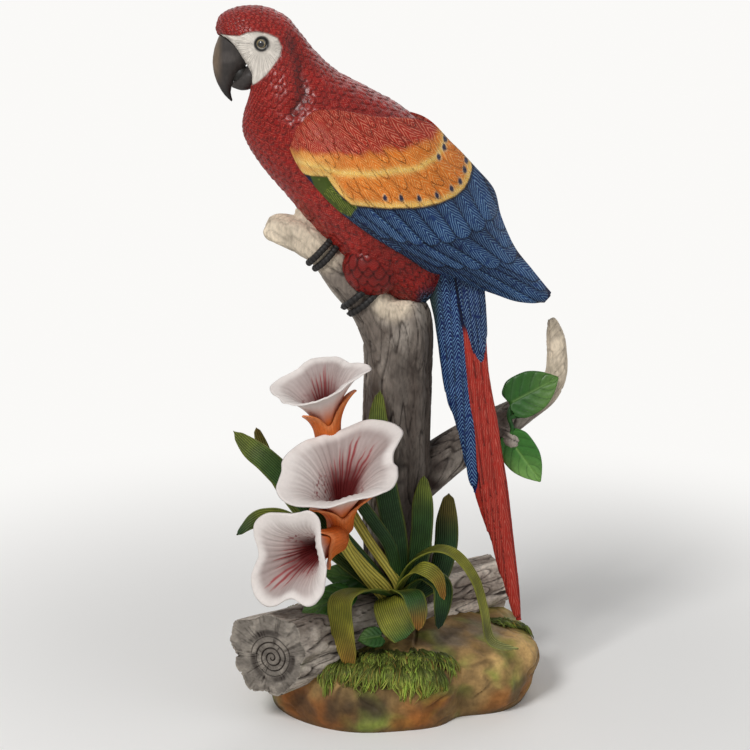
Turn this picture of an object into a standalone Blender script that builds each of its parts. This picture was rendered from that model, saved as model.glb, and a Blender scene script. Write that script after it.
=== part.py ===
"""Macaw figurine: a long-tailed parrot on a tree stump, with three lilies, on an oval ground.

+Z is up, the bird looks along -X, and the front of the figure faces -Y.
The origin is on the flat underside of the ground, below the stump.
Each moulded piece is a closed solid of its own. A piece gives way to those made before it,
so it is seated in them with a small gap all round.
"""

import math

import bmesh
import bpy
from mathutils import Vector, noise
from mathutils.bvhtree import BVHTree

MM = 0.001
ORIGIN = Vector()
ACROSS = Vector((0, 1, 0))

# Fit between the pieces
SEAT_GAP = 0.42 * MM
SLEEVE_GAP = 0.85 * MM

# Ground
GROUND_HALF_WIDTH = 80 * MM
GROUND_HALF_DEPTH = 75 * MM
GROUND_HEIGHT = 51 * MM
ROCK_RELIEF = 3.4 * MM

# Fallen log
LOG_RADIUS = 21.5 * MM
LOG_BACK_RADIUS = 17 * MM
LOG_FRONT = Vector((-77.5 * MM, -62 * MM, GROUND_HEIGHT - 5 * MM))
LOG_BACK = Vector((59 * MM, 45 * MM, GROUND_HEIGHT + 2 * MM))
LOG_SAW_CUT = Vector((-0.42, -0.90, 0.06))

# Stump and branches
TRUNK_HEIGHT = 195 * MM
TRUNK_RADIUS = 19.5 * MM
PERCH_RADIUS = 11.2 * MM
BARK_RELIEF = 0.9 * MM
SIDE_BRANCH_RADIUS = 13 * MM
VINE_RADIUS = 1.4 * MM
HEART_LEAF_THICKNESS = 2 * MM

# Macaw
BODY_HALF_WIDTH = 36 * MM
WING_THICKNESS = 7 * MM
FEATHER_STEP = 1.5 * MM
TAIL_HALF_DEPTH = 9 * MM
TOE_RADIUS = 2.6 * MM
EYE_RADIUS = 3.2 * MM

# Lilies
PETAL_WALL = 1.8 * MM
SEPAL_WALL = 1.9 * MM
STEM_RADIUS = 3 * MM

# Foliage
LEAF_THICKNESS = 1.8 * MM
LEAF_CHANNEL = 1.2 * MM

TRUNK_TOP = GROUND_HEIGHT + TRUNK_HEIGHT
CROWN_AT = Vector((-4 * MM, -23 * MM, GROUND_HEIGHT + 10 * MM))

seat_cutters = []
fused_seats = {}


def clear_scene():
    for obj in list(bpy.data.objects):
        bpy.data.objects.remove(obj)


def paint(name, colour, roughness=0.6):
    material = bpy.data.materials.new(name)
    material.use_nodes = True
    shader = material.node_tree.nodes["Principled BSDF"]
    shader.inputs["Base Color"].default_value = (*colour, 1)
    shader.inputs["Roughness"].default_value = roughness
    shader.inputs["Metallic"].default_value = 0
    material.diffuse_color = (*colour, 1)
    return material


# Curves and skins


def smooth_between(before, here, there, after, t):
    """The Catmull-Rom value at a share t of the way from here to there."""
    linear = there - before
    square = 2 * before - 5 * here + 4 * there - after
    cube = 3 * here - before - 3 * there + after
    return 0.5 * (2 * here + linear * t + square * t**2 + cube * t**3)


def smooth_rows(rows, count):
    """count rows on the Catmull-Rom curve through the given rows of numbers."""
    result = []
    last = len(rows) - 1
    for step in range(count):
        place = step * last / (count - 1)
        i = min(int(place), last - 1)
        near = (rows[max(i - 1, 0)], rows[i], rows[i + 1], rows[min(i + 2, last)])
        result.append(tuple(smooth_between(*values, place - i) for values in zip(*near)))
    return result


def skin(mesh, rings, closed=True):
    """Quads between neighbouring rings of vertices."""
    for lower, upper in zip(rings, rings[1:]):
        count = len(lower)
        for i in range(count if closed else count - 1):
            j = (i + 1) % count
            mesh.faces.new((lower[i], lower[j], upper[j], upper[i]))


def piece(name, mesh, material, location=ORIGIN):
    caps = [face for face in mesh.faces if len(face.verts) > 4]
    bmesh.ops.triangulate(mesh, faces=caps)
    bmesh.ops.recalc_face_normals(mesh, faces=mesh.faces)
    if mesh.calc_volume(signed=True) < 0:
        bmesh.ops.reverse_faces(mesh, faces=mesh.faces)
    data = bpy.data.meshes.new(name)
    mesh.to_mesh(data)
    mesh.free()
    data.materials.append(material)
    obj = bpy.data.objects.new(name, data)
    obj.location = location
    bpy.context.scene.collection.objects.link(obj)
    data.shade_smooth()
    data.set_sharp_from_angle(angle=math.radians(40))
    return obj


def loft(name, rings, material, location=ORIGIN):
    """A closed solid through rings of points, capped at both ends."""
    mesh = bmesh.new()
    made = [[mesh.verts.new(p) for p in ring] for ring in rings]
    skin(mesh, made)
    mesh.faces.new(made[0])
    mesh.faces.new(reversed(made[-1]))
    return piece(name, mesh, material, location)


def slab(name, outer, inner, material, location=ORIGIN):
    """A sheet with a wall: two grids of points with the same outline, joined all round."""
    mesh = bmesh.new()
    top = [[mesh.verts.new(p) for p in row] for row in outer]
    under = [[mesh.verts.new(p) for p in row] for row in inner]
    skin(mesh, top, closed=False)
    skin(mesh, under, closed=False)
    for a, b in ((top[0], under[0]), (top[-1], under[-1])):
        skin(mesh, (a, b), closed=False)
    for side in (0, -1):
        skin(mesh, ([row[side] for row in top], [row[side] for row in under]), closed=False)
    return piece(name, mesh, material, location)


def tube_rings(rows, segments, side_hint, relief=None):
    """Rings round a path. A row is x, y, z, radius across, radius sideways.
    relief(share of the length, angle) adds to the radius."""
    rings = []
    for i, row in enumerate(rows):
        centre = Vector(row[:3])
        ahead = Vector(rows[min(i + 1, len(rows) - 1)][:3])
        behind = Vector(rows[max(i - 1, 0)][:3])
        tangent = (ahead - behind).normalized()
        side = (side_hint - side_hint.dot(tangent) * tangent).normalized()
        across = side.cross(tangent)
        ring = []
        for k in range(segments):
            angle = math.tau * k / segments
            extra = relief(i / (len(rows) - 1), angle) if relief else 0
            ring.append(
                centre
                + across * math.cos(angle) * (row[3] + extra)
                + side * math.sin(angle) * (row[4] + extra)
            )
        rings.append(ring)
    return rings


def tube(name, rows, count, segments, material, side_hint=ACROSS, relief=None, location=ORIGIN):
    rings = tube_rings(smooth_rows(rows, count), segments, side_hint, relief)
    return loft(name, rings, material, location)


def ball(name, centre, radii, material, segments=12):
    mesh = bmesh.new()
    bmesh.ops.create_uvsphere(mesh, u_segments=segments, v_segments=segments // 2 + 1, radius=1)
    bmesh.ops.scale(mesh, vec=radii, verts=mesh.verts)
    return piece(name, mesh, material, centre)


# Joining and seating


def settle(obj):
    """Makes the object's modifiers part of its mesh, in world space."""
    bpy.context.view_layer.update()
    graph = bpy.context.evaluated_depsgraph_get()
    data = bpy.data.meshes.new_from_object(obj.evaluated_get(graph))
    obj.modifiers.clear()
    obj.data = data
    return obj


def boolean(obj, other, operation):
    cut = obj.modifiers.new(operation.lower(), "BOOLEAN")
    cut.operation = operation
    cut.object = other
    cut.solver = "EXACT"
    settle(obj)
    mesh = bmesh.new()
    mesh.from_mesh(obj.data)
    bmesh.ops.triangulate(mesh, faces=mesh.faces)
    mesh.to_mesh(obj.data)
    mesh.free()


def fuse(obj, *parts):
    """One solid from overlapping parts, which are used up."""
    bpy.context.view_layer.update()
    fused_seats[obj.name] = [seat_cutter(part) for part in (obj, *parts)]
    for part in parts:
        boolean(obj, part, "UNION")
        bpy.data.objects.remove(part)
    keep_main_body(obj)
    return obj


def keep_main_body(obj):
    """Deletes crumbs that a cut has left loose beside the main body."""
    mesh = bmesh.new()
    mesh.from_mesh(obj.data)
    left = set(mesh.faces)
    islands = []
    while left:
        island = set()
        waiting = [left.pop()]
        while waiting:
            face = waiting.pop()
            island.add(face)
            near = {other for edge in face.edges for other in edge.link_faces} & left
            left -= near
            waiting.extend(near)
        islands.append(island)
    islands.sort(key=lambda faces: sum(face.calc_area() for face in faces))
    crumbs = [face for island in islands[:-1] for face in island]
    bmesh.ops.delete(mesh, geom=crumbs, context="FACES")
    mesh.to_mesh(obj.data)
    mesh.free()


def tree_of(obj):
    graph = bpy.context.evaluated_depsgraph_get()
    mesh = bmesh.new()
    mesh.from_object(obj, graph)
    mesh.transform(obj.matrix_world)
    found = BVHTree.FromBMesh(mesh)
    mesh.free()
    return found


def seat_cutter(obj):
    """A hidden copy of the object, grown by the seat gap."""
    cutter = bpy.data.objects.new(obj.name + "_seat", obj.data.copy())
    cutter.matrix_world = obj.matrix_world
    bpy.context.scene.collection.objects.link(cutter)
    grow = cutter.modifiers.new("grow", "DISPLACE")
    grow.strength = SEAT_GAP
    grow.mid_level = 0
    cutter.hide_render = True
    cutter.display_type = "WIRE"
    return cutter


def give_way(obj):
    """Cuts the object back from every piece placed before it that it would touch."""
    bpy.context.view_layer.update()
    own_cutters = fused_seats.get(obj.name) or [seat_cutter(obj)]
    bpy.context.view_layer.update()
    for earlier in seat_cutters:
        if tree_of(obj).overlap(tree_of(earlier)):
            boolean(obj, earlier, "DIFFERENCE")
            keep_main_body(obj)
    seat_cutters.extend(own_cutters)
    return obj


# Ground, log and stump

# Angle from +X in degrees, share of the half width at the rim, share at the foot
GROUND_OUTLINE = (
    (0, 1.06, 0.95),
    (25, 1.05, 0.92),
    (45, 1.02, 0.88),
    (90, 0.97, 0.87),
    (135, 1.00, 0.88),
    (180, 1.00, 0.95),
    (205, 1.02, 0.99),
    (233, 1.01, 0.99),
    (250, 1.00, 0.97),
    (270, 0.92, 0.89),
    (290, 0.89, 0.84),
    (307, 0.83, 0.75),
    (328, 0.98, 0.91),
    (345, 1.04, 0.96),
    (360, 1.06, 0.95),
)
# Share of the way from foot to rim, share of the rim's radius, share of the height
GROUND_SECTION = (
    (0.0, 1.0, 0.0),
    (0.55, 1.0, 0.12),
    (1.0, 1.0, 0.38),
    (1.0, 0.98, 0.60),
    (1.0, 0.88, 0.74),
    (1.0, 0.68, 0.83),
    (1.0, 0.42, 0.92),
    (1.0, 0.18, 0.99),
    (1.0, 0.05, 1.0),
)
# Ledges and hollows of the rock: x, y and height as shares of the half width, half depth and
# height, how far each spreads as a share of the half width, and its share of the relief
ROCK_LUMPS = (
    (-0.54, -0.85, 0.33, 0.19, 1.0),
    (-0.19, -0.95, 0.43, 0.15, -1.0),
    (0.10, -0.89, 0.24, 0.16, 0.8),
    (-0.21, -0.93, 0.10, 0.13, 0.6),
    (0.54, -0.64, 0.26, 0.15, -1.0),
    (0.78, -0.56, 0.31, 0.15, 1.0),
    (0.71, -0.59, 0.51, 0.13, 0.5),
    (0.58, -0.57, 0.70, 0.16, 0.9),
    (0.29, -0.65, 0.78, 0.15, -0.8),
    (0.95, -0.19, 0.67, 0.19, 0.9),
    (0.39, -0.75, 0.55, 0.13, 0.7),
    (-0.84, -0.57, 0.22, 0.18, 0.7),
    (0.28, -0.83, 0.18, 0.13, -0.6),
    (0.90, 0.16, 0.31, 0.19, -0.8),
    (0.75, 0.53, 0.59, 0.21, 1.0),
    (0.38, 0.88, 0.39, 0.20, -0.9),
    (0.00, 0.93, 0.59, 0.20, 0.9),
    (-0.40, 0.83, 0.31, 0.19, -0.8),
    (-0.75, 0.53, 0.59, 0.21, 0.9),
    (-0.98, 0.07, 0.39, 0.19, -0.7),
    (0.60, 0.27, 0.86, 0.18, 0.6),
    (-0.50, 0.40, 0.90, 0.18, 0.6),
    (0.19, 0.60, 0.90, 0.18, -0.5),
)


def rock_relief(x, y, height):
    """How far the rock stands out at a place given in shares of the ground's size."""
    flat = GROUND_HEIGHT / GROUND_HALF_WIDTH
    total = 0.0
    for lump_x, lump_y, lump_height, spread, rise in ROCK_LUMPS:
        gap = math.hypot(x - lump_x, y - lump_y, flat * (height - lump_height)) / spread
        total += rise * math.exp(-gap * gap)
    return ROCK_RELIEF * total * min(1.0, height / 0.12)


def ground_ring(outline, section):
    to_rim, share, height = section
    ring = []
    for angle, rim, foot in outline[:-1]:
        turn = math.radians(angle)
        radius = (foot + (rim - foot) * to_rim) * share
        x = GROUND_HALF_WIDTH * radius * math.cos(turn)
        y = GROUND_HALF_DEPTH * radius * math.sin(turn)
        point = Vector((x, y, GROUND_HEIGHT * height))
        outward = (point - Vector((0, 0, GROUND_HEIGHT * 0.3))).normalized()
        point += outward * rock_relief(x / GROUND_HALF_WIDTH, y / GROUND_HALF_DEPTH, height)
        ring.append(point)
    return ring


def make_ground(material):
    outline = smooth_rows(GROUND_OUTLINE, 46)
    rings = [ground_ring(outline, section) for section in smooth_rows(GROUND_SECTION, 12)]
    return give_way(loft("ground", rings, material))


def bark(flutes, depth, twist=0.0):
    """Long furrows round a trunk, as a relief function for a tube."""

    def relief(share, angle):
        furrow = math.sin(flutes * angle + twist * share)
        lump = noise.noise(Vector((math.cos(angle), math.sin(angle), share * 5)) * 1.3)
        return depth * (furrow + 1.6 * lump)

    return relief


# Angle round the sawn end in degrees, and share of the log's radius
LOG_RIM = (
    (0, 0.90),
    (37, 1.22),
    (55, 1.03),
    (80, 1.05),
    (123, 1.18),
    (136, 1.14),
    (171, 1.00),
    (209, 1.02),
    (240, 1.12),
    (270, 1.10),
    (292, 1.08),
    (325, 0.92),
    (360, 0.90),
)


def log_relief(share, angle):
    """Flutes all along the log, and its uneven rim at the sawn end."""
    degrees = math.degrees(angle)
    rim = min(smooth_rows(LOG_RIM, 73), key=lambda row: abs(row[0] - degrees))[1]
    flutes = bark(9, BARK_RELIEF, 1.5)
    return flutes(share, angle) + LOG_RADIUS * (rim - 1) * max(0.0, 1 - 1.4 * share)


def make_log(material):
    """A log whose front end is sawn off at a slant."""
    axis = LOG_BACK - LOG_FRONT
    reach = axis.dot(LOG_SAW_CUT)
    rows = []
    for step in range(8):
        share = step / 7
        radius = LOG_RADIUS + (LOG_BACK_RADIUS - LOG_RADIUS) * share
        rows.append((*LOG_FRONT.lerp(LOG_BACK, share), radius, radius))
    rings = tube_rings(rows, 24, Vector((0, 0, 1)), log_relief)
    for i, ring in enumerate(rings):
        slant = 1 - i / (len(rings) - 1)
        for point in ring:
            saw_gap = (LOG_FRONT - point).dot(LOG_SAW_CUT) + reach * (1 - slant)
            point += axis * slant * saw_gap / reach
    return give_way(loft("fallen_log", rings, material))


# Share of the trunk's height, x and y in mm, share of the trunk's radius across and sideways
TRUNK_ROWS = (
    (-0.08, 1, 9, 1.60, 1.45),
    (0.03, 1, 8, 1.28, 1.20),
    (0.12, 0, 6, 1.08, 1.06),
    (0.30, -1, 4, 1.00, 1.00),
    (0.55, -1.5, 2, 1.02, 1.00),
    (0.75, -1, 1, 0.98, 0.96),
    (0.90, -1.5, 0, 1.05, 1.00),
    (0.97, -2, 0, 0.98, 0.95),
    (1.00, -2, 0, 0.70, 0.70),
)
# x, y in mm, height above the trunk's top in mm, share of the perch's radius
PERCH_ROWS = (
    (0, 0, -40, 1.50),
    (-6, -1, -20, 1.50),
    (-16, -2, -3, 1.34),
    (-30, -3, 12, 1.12),
    (-44, -4, 28, 0.96),
    (-55, -4, 35, 0.95),
    (-66, -4, 39.5, 0.88),
    (-74, -4, 42, 0.72),
    (-77.5, -4, 43.5, 0.42),
)
PERCH_STUB_ROWS = (
    (-49, -4, 32, 0.60),
    (-52.5, -3, 40, 0.48),
    (-56, -2, 48, 0.40),
    (-58, -2, 53, 0.26),
)
SIDE_BRANCH_ROWS = (
    (6, 8, -122, 1.00),
    (19, 12, -110, 1.05),
    (31, 16, -101, 1.00),
    (43, 20, -94, 0.94),
    (61, 24, -85, 0.82),
    (76, 26, -76, 0.70),
    (88, 26.5, -67, 0.60),
    (94, 26.5, -56, 0.52),
    (95, 26, -43, 0.48),
    (94, 26, -31, 0.42),
    (91, 26, -20, 0.20),
)
SIDE_STUB_ROWS = (
    (56, 20, -88, 0.60),
    (64, 15, -90, 0.58),
    (70, 12, -92, 0.48),
    (73, 11, -93, 0.26),
)


def branch_rows(table, radius):
    above = TRUNK_TOP
    return [(x * MM, y * MM, above + z * MM, a * radius, a * radius) for x, y, z, a in table]


def make_stump(material):
    rows = [
        (x * MM, y * MM, GROUND_HEIGHT + share * TRUNK_HEIGHT, a * TRUNK_RADIUS, b * TRUNK_RADIUS)
        for share, x, y, a, b in TRUNK_ROWS
    ]
    stump = tube("stump", rows, 13, 20, material, relief=bark(8, BARK_RELIEF, 3.0))
    perch_rows = branch_rows(PERCH_ROWS, PERCH_RADIUS)
    perch = tube("perch", perch_rows, 11, 14, material, relief=bark(5, BARK_RELIEF * 0.6))
    stub = tube("perch_stub", branch_rows(PERCH_STUB_ROWS, PERCH_RADIUS), 5, 8, material)
    return give_way(fuse(stump, perch, stub))


def make_side_branch(material):
    rows = branch_rows(SIDE_BRANCH_ROWS, SIDE_BRANCH_RADIUS)
    branch = tube("side_branch", rows, 14, 12, material, relief=bark(5, BARK_RELIEF * 0.5))
    stub = tube("side_stub", branch_rows(SIDE_STUB_ROWS, SIDE_BRANCH_RADIUS), 5, 8, material)
    return give_way(fuse(branch, stub))


# Macaw

# Outline of the back, then of the throat and belly, as x and height above the trunk's top in mm,
# and the half width as a share of the body's
BODY_ROWS = (
    (-105.0, 157.0, -103.5, 152.5, 0.09),
    (-102.5, 163.5, -95.5, 147.5, 0.33),
    (-96.0, 167.5, -88.5, 137.0, 0.45),
    (-87.0, 169.3, -84.5, 128.0, 0.52),
    (-76.0, 168.5, -86.0, 118.0, 0.56),
    (-64.5, 163.0, -89.5, 108.0, 0.59),
    (-56.0, 153.0, -90.3, 98.5, 0.64),
    (-47.0, 142.0, -86.8, 88.6, 0.73),
    (-35.0, 131.5, -78.3, 75.8, 0.84),
    (-16.5, 121.6, -66.3, 61.7, 0.95),
    (5.0, 108.5, -49.6, 41.6, 1.00),
    (21.0, 86.3, -31.7, 22.6, 0.95),
    (30.0, 57.0, -14.8, 6.0, 0.78),
    (30.0, 30.0, 0.4, -2.5, 0.56),
    (24.5, 8.0, 14.0, -4.3, 0.24),
)
# Outer curve and inner curve, as x and height above the trunk's top, and the half width, all in mm
UPPER_BEAK_ROWS = (
    (-102.5, 153.0, -84.0, 141.0, 8.5),
    (-105.6, 145.5, -87.0, 136.5, 8.2),
    (-107.0, 137.5, -90.5, 132.5, 6.8),
    (-106.2, 130.5, -93.6, 129.0, 5.2),
    (-104.0, 124.0, -95.6, 124.8, 3.7),
    (-100.6, 118.4, -96.8, 120.0, 2.0),
    (-96.6, 114.4, -95.9, 115.2, 0.6),
)
LOWER_BEAK_ROWS = (
    (-86.0, 136.0, -80.5, 127.5, 7.0),
    (-90.0, 132.5, -84.2, 122.5, 6.6),
    (-93.6, 128.0, -90.0, 120.8, 4.8),
    (-96.6, 124.0, -95.6, 122.4, 1.6),
)
THIGH_AT = (Vector((-15, -15, 21)), Vector((-37, 9, 30)))
THIGH_RADII = Vector((18, 12, 17))
EYE_AT = Vector((-78, 17.2, 150))


def ribbed_rows(rows, width):
    """Rows of two outline points and a half width, in metres above the trunk's top."""
    above = TRUNK_TOP
    return [(a * MM, above + b * MM, c * MM, above + d * MM, w * width) for a, b, c, d, w in rows]


def outline_rings(rows, segments):
    """Oval rings whose long axis joins the two outline points of each row."""
    rings = []
    for back_x, back_z, front_x, front_z, half_width in rows:
        back = Vector((back_x, 0, back_z))
        front = Vector((front_x, 0, front_z))
        centre = (back + front) / 2
        long_axis = (back - front) / 2
        side = Vector((0, half_width, 0))
        turns = [math.tau * k / segments for k in range(segments)]
        rings.append([centre + long_axis * math.cos(a) + side * math.sin(a) for a in turns])
    return rings


def make_macaw_body(material):
    body_rows = smooth_rows(ribbed_rows(BODY_ROWS, BODY_HALF_WIDTH), 25)
    body = loft("macaw_body", outline_rings(body_rows, 20), material)
    upper_rows = smooth_rows(ribbed_rows(UPPER_BEAK_ROWS, MM), 9)
    lower_rows = smooth_rows(ribbed_rows(LOWER_BEAK_ROWS, MM), 6)
    parts = [
        loft("upper_beak", outline_rings(upper_rows, 12), material),
        loft("lower_beak", outline_rings(lower_rows, 10), material),
    ]
    above = Vector((0, 0, TRUNK_TOP))
    for i, centre in enumerate(THIGH_AT):
        parts.append(ball(f"thigh_{i}", centre * MM + above, THIGH_RADII * MM, material, 12))
    for side in (-1, 1):
        centre = Vector((EYE_AT.x, side * EYE_AT.y, EYE_AT.z)) * MM + above
        parts.append(ball(f"eye_{side + 1}", centre, Vector((1, 1, 1)) * EYE_RADIUS, material, 10))
    return give_way(fuse(body, *parts))


# Upper edge, then lower edge, as x and height above the trunk's top,
# then how far out the upper edge, the middle and the lower edge stand, all in mm
WING_ROWS = (
    (-58, 105, -62.5, 92, 28, 30, 28),
    (-49, 113, -58, 83, 28.5, 35, 31),
    (-36, 114, -51.6, 75, 28, 39, 33),
    (-12, 110, -36, 58.5, 26, 44, 35),
    (13.7, 106, -16.5, 43.5, 15, 43, 36),
    (30, 92, 2.5, 31, 8.5, 39, 33),
    (44, 77, 17.2, 20.5, 5.5, 32, 28),
    (54.6, 64, 29.3, 16.5, 4, 26, 22),
    (59, 48, 43.7, 9, 3.2, 21, 17),
    (67, 30, 56, 3.5, 2.6, 16.5, 12.5),
    (77, 17, 67, -1, 2.4, 12.5, 9.5),
    (85, 7, 77.5, -2.8, 2.2, 9.5, 7.5),
    (88.8, 2.5, 84.5, -2.4, 2.2, 6.5, 5.5),
)
# Lines across the wing, from shoulder to tip: share of the wing's length at the upper and at the
# lower edge, and how many feather steps the layer of feathers there stands out
WING_LINES = (
    (0.00, 0.00, 2),
    (0.12, 0.04, 2),
    (0.24, 0.09, 2),
    (0.36, 0.14, 2),
    (0.48, 0.20, 2),
    (0.595, 0.27, 2),
    (0.615, 0.29, 1),
    (0.68, 0.37, 1),
    (0.74, 0.46, 1),
    (0.76, 0.48, 0),
    (0.83, 0.63, 0),
    (0.90, 0.78, 0),
    (0.95, 0.90, 0),
    (1.00, 1.00, 0),
)
WING_COLUMNS = 11
FAR_WING_DROP = 2.5 * MM
WING_MIDLINE_GAP = 0.25 * MM


def wing_point(row, share, side, lift):
    """A point of the wing's face: share is 0 at the upper edge and 1 at the lower edge."""
    top_x, top_z, low_x, low_z, top_out, middle_out, low_out = (value * MM for value in row)
    x = top_x + (low_x - top_x) * share
    z = TRUNK_TOP + top_z + (low_z - top_z) * share - (FAR_WING_DROP if side > 0 else 0)
    a, b, c = top_out, middle_out, low_out
    out = a * (1 - share) * (1 - 2 * share) + 4 * b * share * (1 - share) + c * share * (2 * share - 1)
    out = out * BODY_HALF_WIDTH / (36 * MM) + lift
    return Vector((x, side * max(out, WING_MIDLINE_GAP), z))


def make_wing(name, side, material):
    """A curved sheet of overlapping feathers, thick in the middle and thin at its edges."""
    rows = smooth_rows(WING_ROWS, 121)
    outer = []
    inner = []
    for top_share, low_share, steps in WING_LINES:
        out_line = []
        in_line = []
        for k in range(WING_COLUMNS):
            across = k / (WING_COLUMNS - 1)
            reach = top_share + (low_share - top_share) * across
            row = rows[round(reach * (len(rows) - 1))]
            ridge = 0.3 if k % 2 else 0.0
            rim = 2 * min(k, WING_COLUMNS - 1 - k) / (WING_COLUMNS - 1)
            lift = (steps * min(1, 2 * rim) + ridge) * FEATHER_STEP
            out_line.append(wing_point(row, across, side, lift))
            in_line.append(wing_point(row, across, side, -WING_THICKNESS * min(1.0, 2 * rim + 0.35)))
        outer.append(out_line)
        inner.append(in_line)
    return give_way(slab(name, outer, inner, material))


# Left edge, right edge, height above the trunk's top in mm, half depth as a share of the tail's
TAIL_RED_ROWS = (
    (24, 44, 20, 0.80),
    (28, 50, -14, 0.78),
    (33, 53, -46, 0.66),
    (38, 58.5, -76, 0.55),
    (41, 62, -96, 0.52),
    (44, 65.5, -117, 0.48),
    (51, 68.7, -145, 0.42),
    (60.5, 71.8, -171, 0.34),
    (66.5, 73.8, -188, 0.27),
    (71, 74.3, -200, 0.14),
)
TAIL_BLUE_ROWS = (
    (12, 34, 18, 1.00),
    (19, 38, -6, 0.90),
    (22, 42, -22, 0.84),
    (27.5, 43, -58, 0.72),
    (33, 45.5, -74, 0.66),
    (37.3, 47.5, -91, 0.60),
    (41.5, 48.5, -110, 0.50),
    (44.5, 47.5, -119, 0.26),
)
TAIL_COVERT_ROWS = (
    (30, 49, 16, 1.06),
    (36, 51, -14, 0.96),
    (42, 50.5, -32, 0.76),
    (47, 49.8, -41, 0.36),
)
TAIL_BACKSET = 4 * MM


def tail_feathers(name, rows, material):
    rings = []
    for left, right, height, depth in smooth_rows(rows, len(rows)):
        centre = Vector(((left + right) / 2 * MM, -TAIL_BACKSET, TRUNK_TOP + height * MM))
        half = (right - left) / 2 * MM
        ring = []
        for k in range(12):
            angle = math.tau * k / 12
            vane = 1.0 if k % 2 else 0.9
            offset = Vector((half * math.cos(angle), vane * depth * TAIL_HALF_DEPTH * math.sin(angle), 0))
            ring.append(centre + offset)
        rings.append(ring)
    return loft(name, rings, material)


def make_tail(material):
    red = tail_feathers("macaw_tail", TAIL_RED_ROWS, material)
    blue = tail_feathers("tail_blue", TAIL_BLUE_ROWS, material)
    coverts = tail_feathers("tail_coverts", TAIL_COVERT_ROWS, material)
    return give_way(fuse(red, blue, coverts))


# Where each foot stands, as a share along the perch's rows, the space between its toes in mm,
# and how far round the perch, in degrees from its top, the toes part
FEET = (("macaw_right_foot", 0.49, 5.4, 70), ("macaw_left_foot", 0.31, 6.2, 100))
TOE_START = math.radians(20)
TOE_END = math.radians(165)


def make_foot(name, share, spread, parting, material):
    """Two toes that wrap the front of the perch, joined where they leave the plumage."""
    rows = smooth_rows(branch_rows(PERCH_ROWS, PERCH_RADIUS), 41)
    index = round(share * 40)
    along = (Vector(rows[index + 2][:3]) - Vector(rows[index - 2][:3])).normalized()
    out = Vector((0, -1, 0))
    out = (out - out.dot(along) * along).normalized()
    up = out.cross(along)
    if up.z < 0:
        up = -up
    wrap = rows[index][3] + BARK_RELIEF + TOE_RADIUS * 0.6

    middle = Vector(rows[index][:3])

    def around(angle, offset):
        return middle + along * offset + (up * math.cos(angle) + out * math.sin(angle)) * wrap

    parts = []
    for toe in (-0.5, 0.5):
        toe_rows = []
        for step in range(10):
            angle = TOE_START + (TOE_END - TOE_START) * step / 9
            knuckle = 1.12 if step % 2 else 0.95
            thickness = TOE_RADIUS * (knuckle if step < 8 else 0.75 if step == 8 else 0.4)
            toe_rows.append((*around(angle, toe * spread * MM), thickness, thickness))
        parts.append(tube(f"{name}_toe", toe_rows, 13, 8, material, side_hint=along))
    half = (spread / 2 + 1) * MM
    web_at = math.radians(parting)
    web_rows = [(*around(web_at, end * half), TOE_RADIUS, TOE_RADIUS * 1.3) for end in (-1, 0, 1)]
    web = tube(name, web_rows, 3, 8, material, side_hint=up)
    return give_way(fuse(web, *parts))


# Lilies

# For each lily: where its throat starts (from the crown of leaves, in mm), its axis, a level
# direction that the rim's angles start from, and the rim as angle, radius and height in mm
LILIES = {
    "middle": {
        "at": (-30.5, -15, 55.5),
        "axis": (0.0, -0.36, 0.93),
        "start": (1, 0, 0),
        "rim": (
            (0, 33.5, 44), (10, 31.5, 44), (18, 33, 47), (25, 38, 49.5), (32, 43.5, 51),
            (40, 44.5, 52), (50, 43, 52), (61, 40, 52), (71, 36.5, 51), (81, 32, 49.5),
            (93, 28.5, 48.5), (115, 27, 48), (138, 28.5, 48), (158, 31, 47), (172, 33.5, 45),
            (182, 33.5, 42.5), (190, 35.5, 40), (199, 38.5, 38), (219, 38.5, 37), (238, 34.5, 38),
            (255, 31, 38), (272, 28, 39), (290, 27, 40), (310, 29.5, 41), (326, 34, 42),
            (342, 34.7, 43), (360, 33.5, 44),
        ),
    },
    "top": {
        "at": (-37.5, -1, 106),
        "axis": (-0.10, -0.18, 0.98),
        "start": (1, 0, 0),
        "rim": (
            (0, 29, 43), (10, 24, 43), (22, 20, 42), (38, 19, 42), (60, 21, 42), (82, 20.5, 42),
            (103, 22, 41), (118, 23, 39), (129, 23, 37), (139, 26, 35), (149, 31, 32.5),
            (160, 33, 30.5), (173, 30, 29.5), (187, 26, 29), (205, 25, 29.5), (225, 23.5, 30.5),
            (245, 22, 32), (270, 20.5, 33.5), (300, 19, 35.5), (325, 21, 39), (341, 26, 41),
            (352, 30, 42.5), (360, 29, 43),
        ),
    },
    "low": {
        "at": (-32.0, -25, 51.5),
        "axis": (-0.64, -0.76, -0.07),
        "start": (0.76, -0.64, 0),
        "rim": (
            (0, 24.8, 38), (12, 24.5, 38), (32, 26.5, 38), (45, 31, 38), (55, 37, 38.5), (64, 38, 40),
            (74, 33, 41), (84, 30, 42), (106, 29.6, 42), (125, 30.5, 43), (141, 30.7, 43),
            (154, 28.5, 43), (172, 25, 42), (186, 25, 41), (198, 29, 42), (208, 34, 43), (218, 38, 43),
            (228, 39.2, 43), (238, 38, 43), (248, 32.5, 43), (259, 26, 42), (271, 23.5, 41),
            (283, 25.5, 41), (294, 28, 41), (310, 28, 40), (330, 26.6, 39), (349, 25.2, 38),
            (360, 24.8, 38),
        ),
    },
}
THROAT_RADIUS = 5 * MM
FLARE = 2.3
# How far the petals roll over at their rim, as a share of the bloom's height
PETAL_ROLL = 0.06
SEPAL_COUNT = 3
LILY_SEGMENTS = 36


def lily_frame(lily):
    axis = Vector(lily["axis"]).normalized()
    start = Vector(lily["start"])
    start = (start - start.dot(axis) * axis).normalized()
    return CROWN_AT + Vector(lily["at"]) * MM, axis, start, axis.cross(start)


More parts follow.
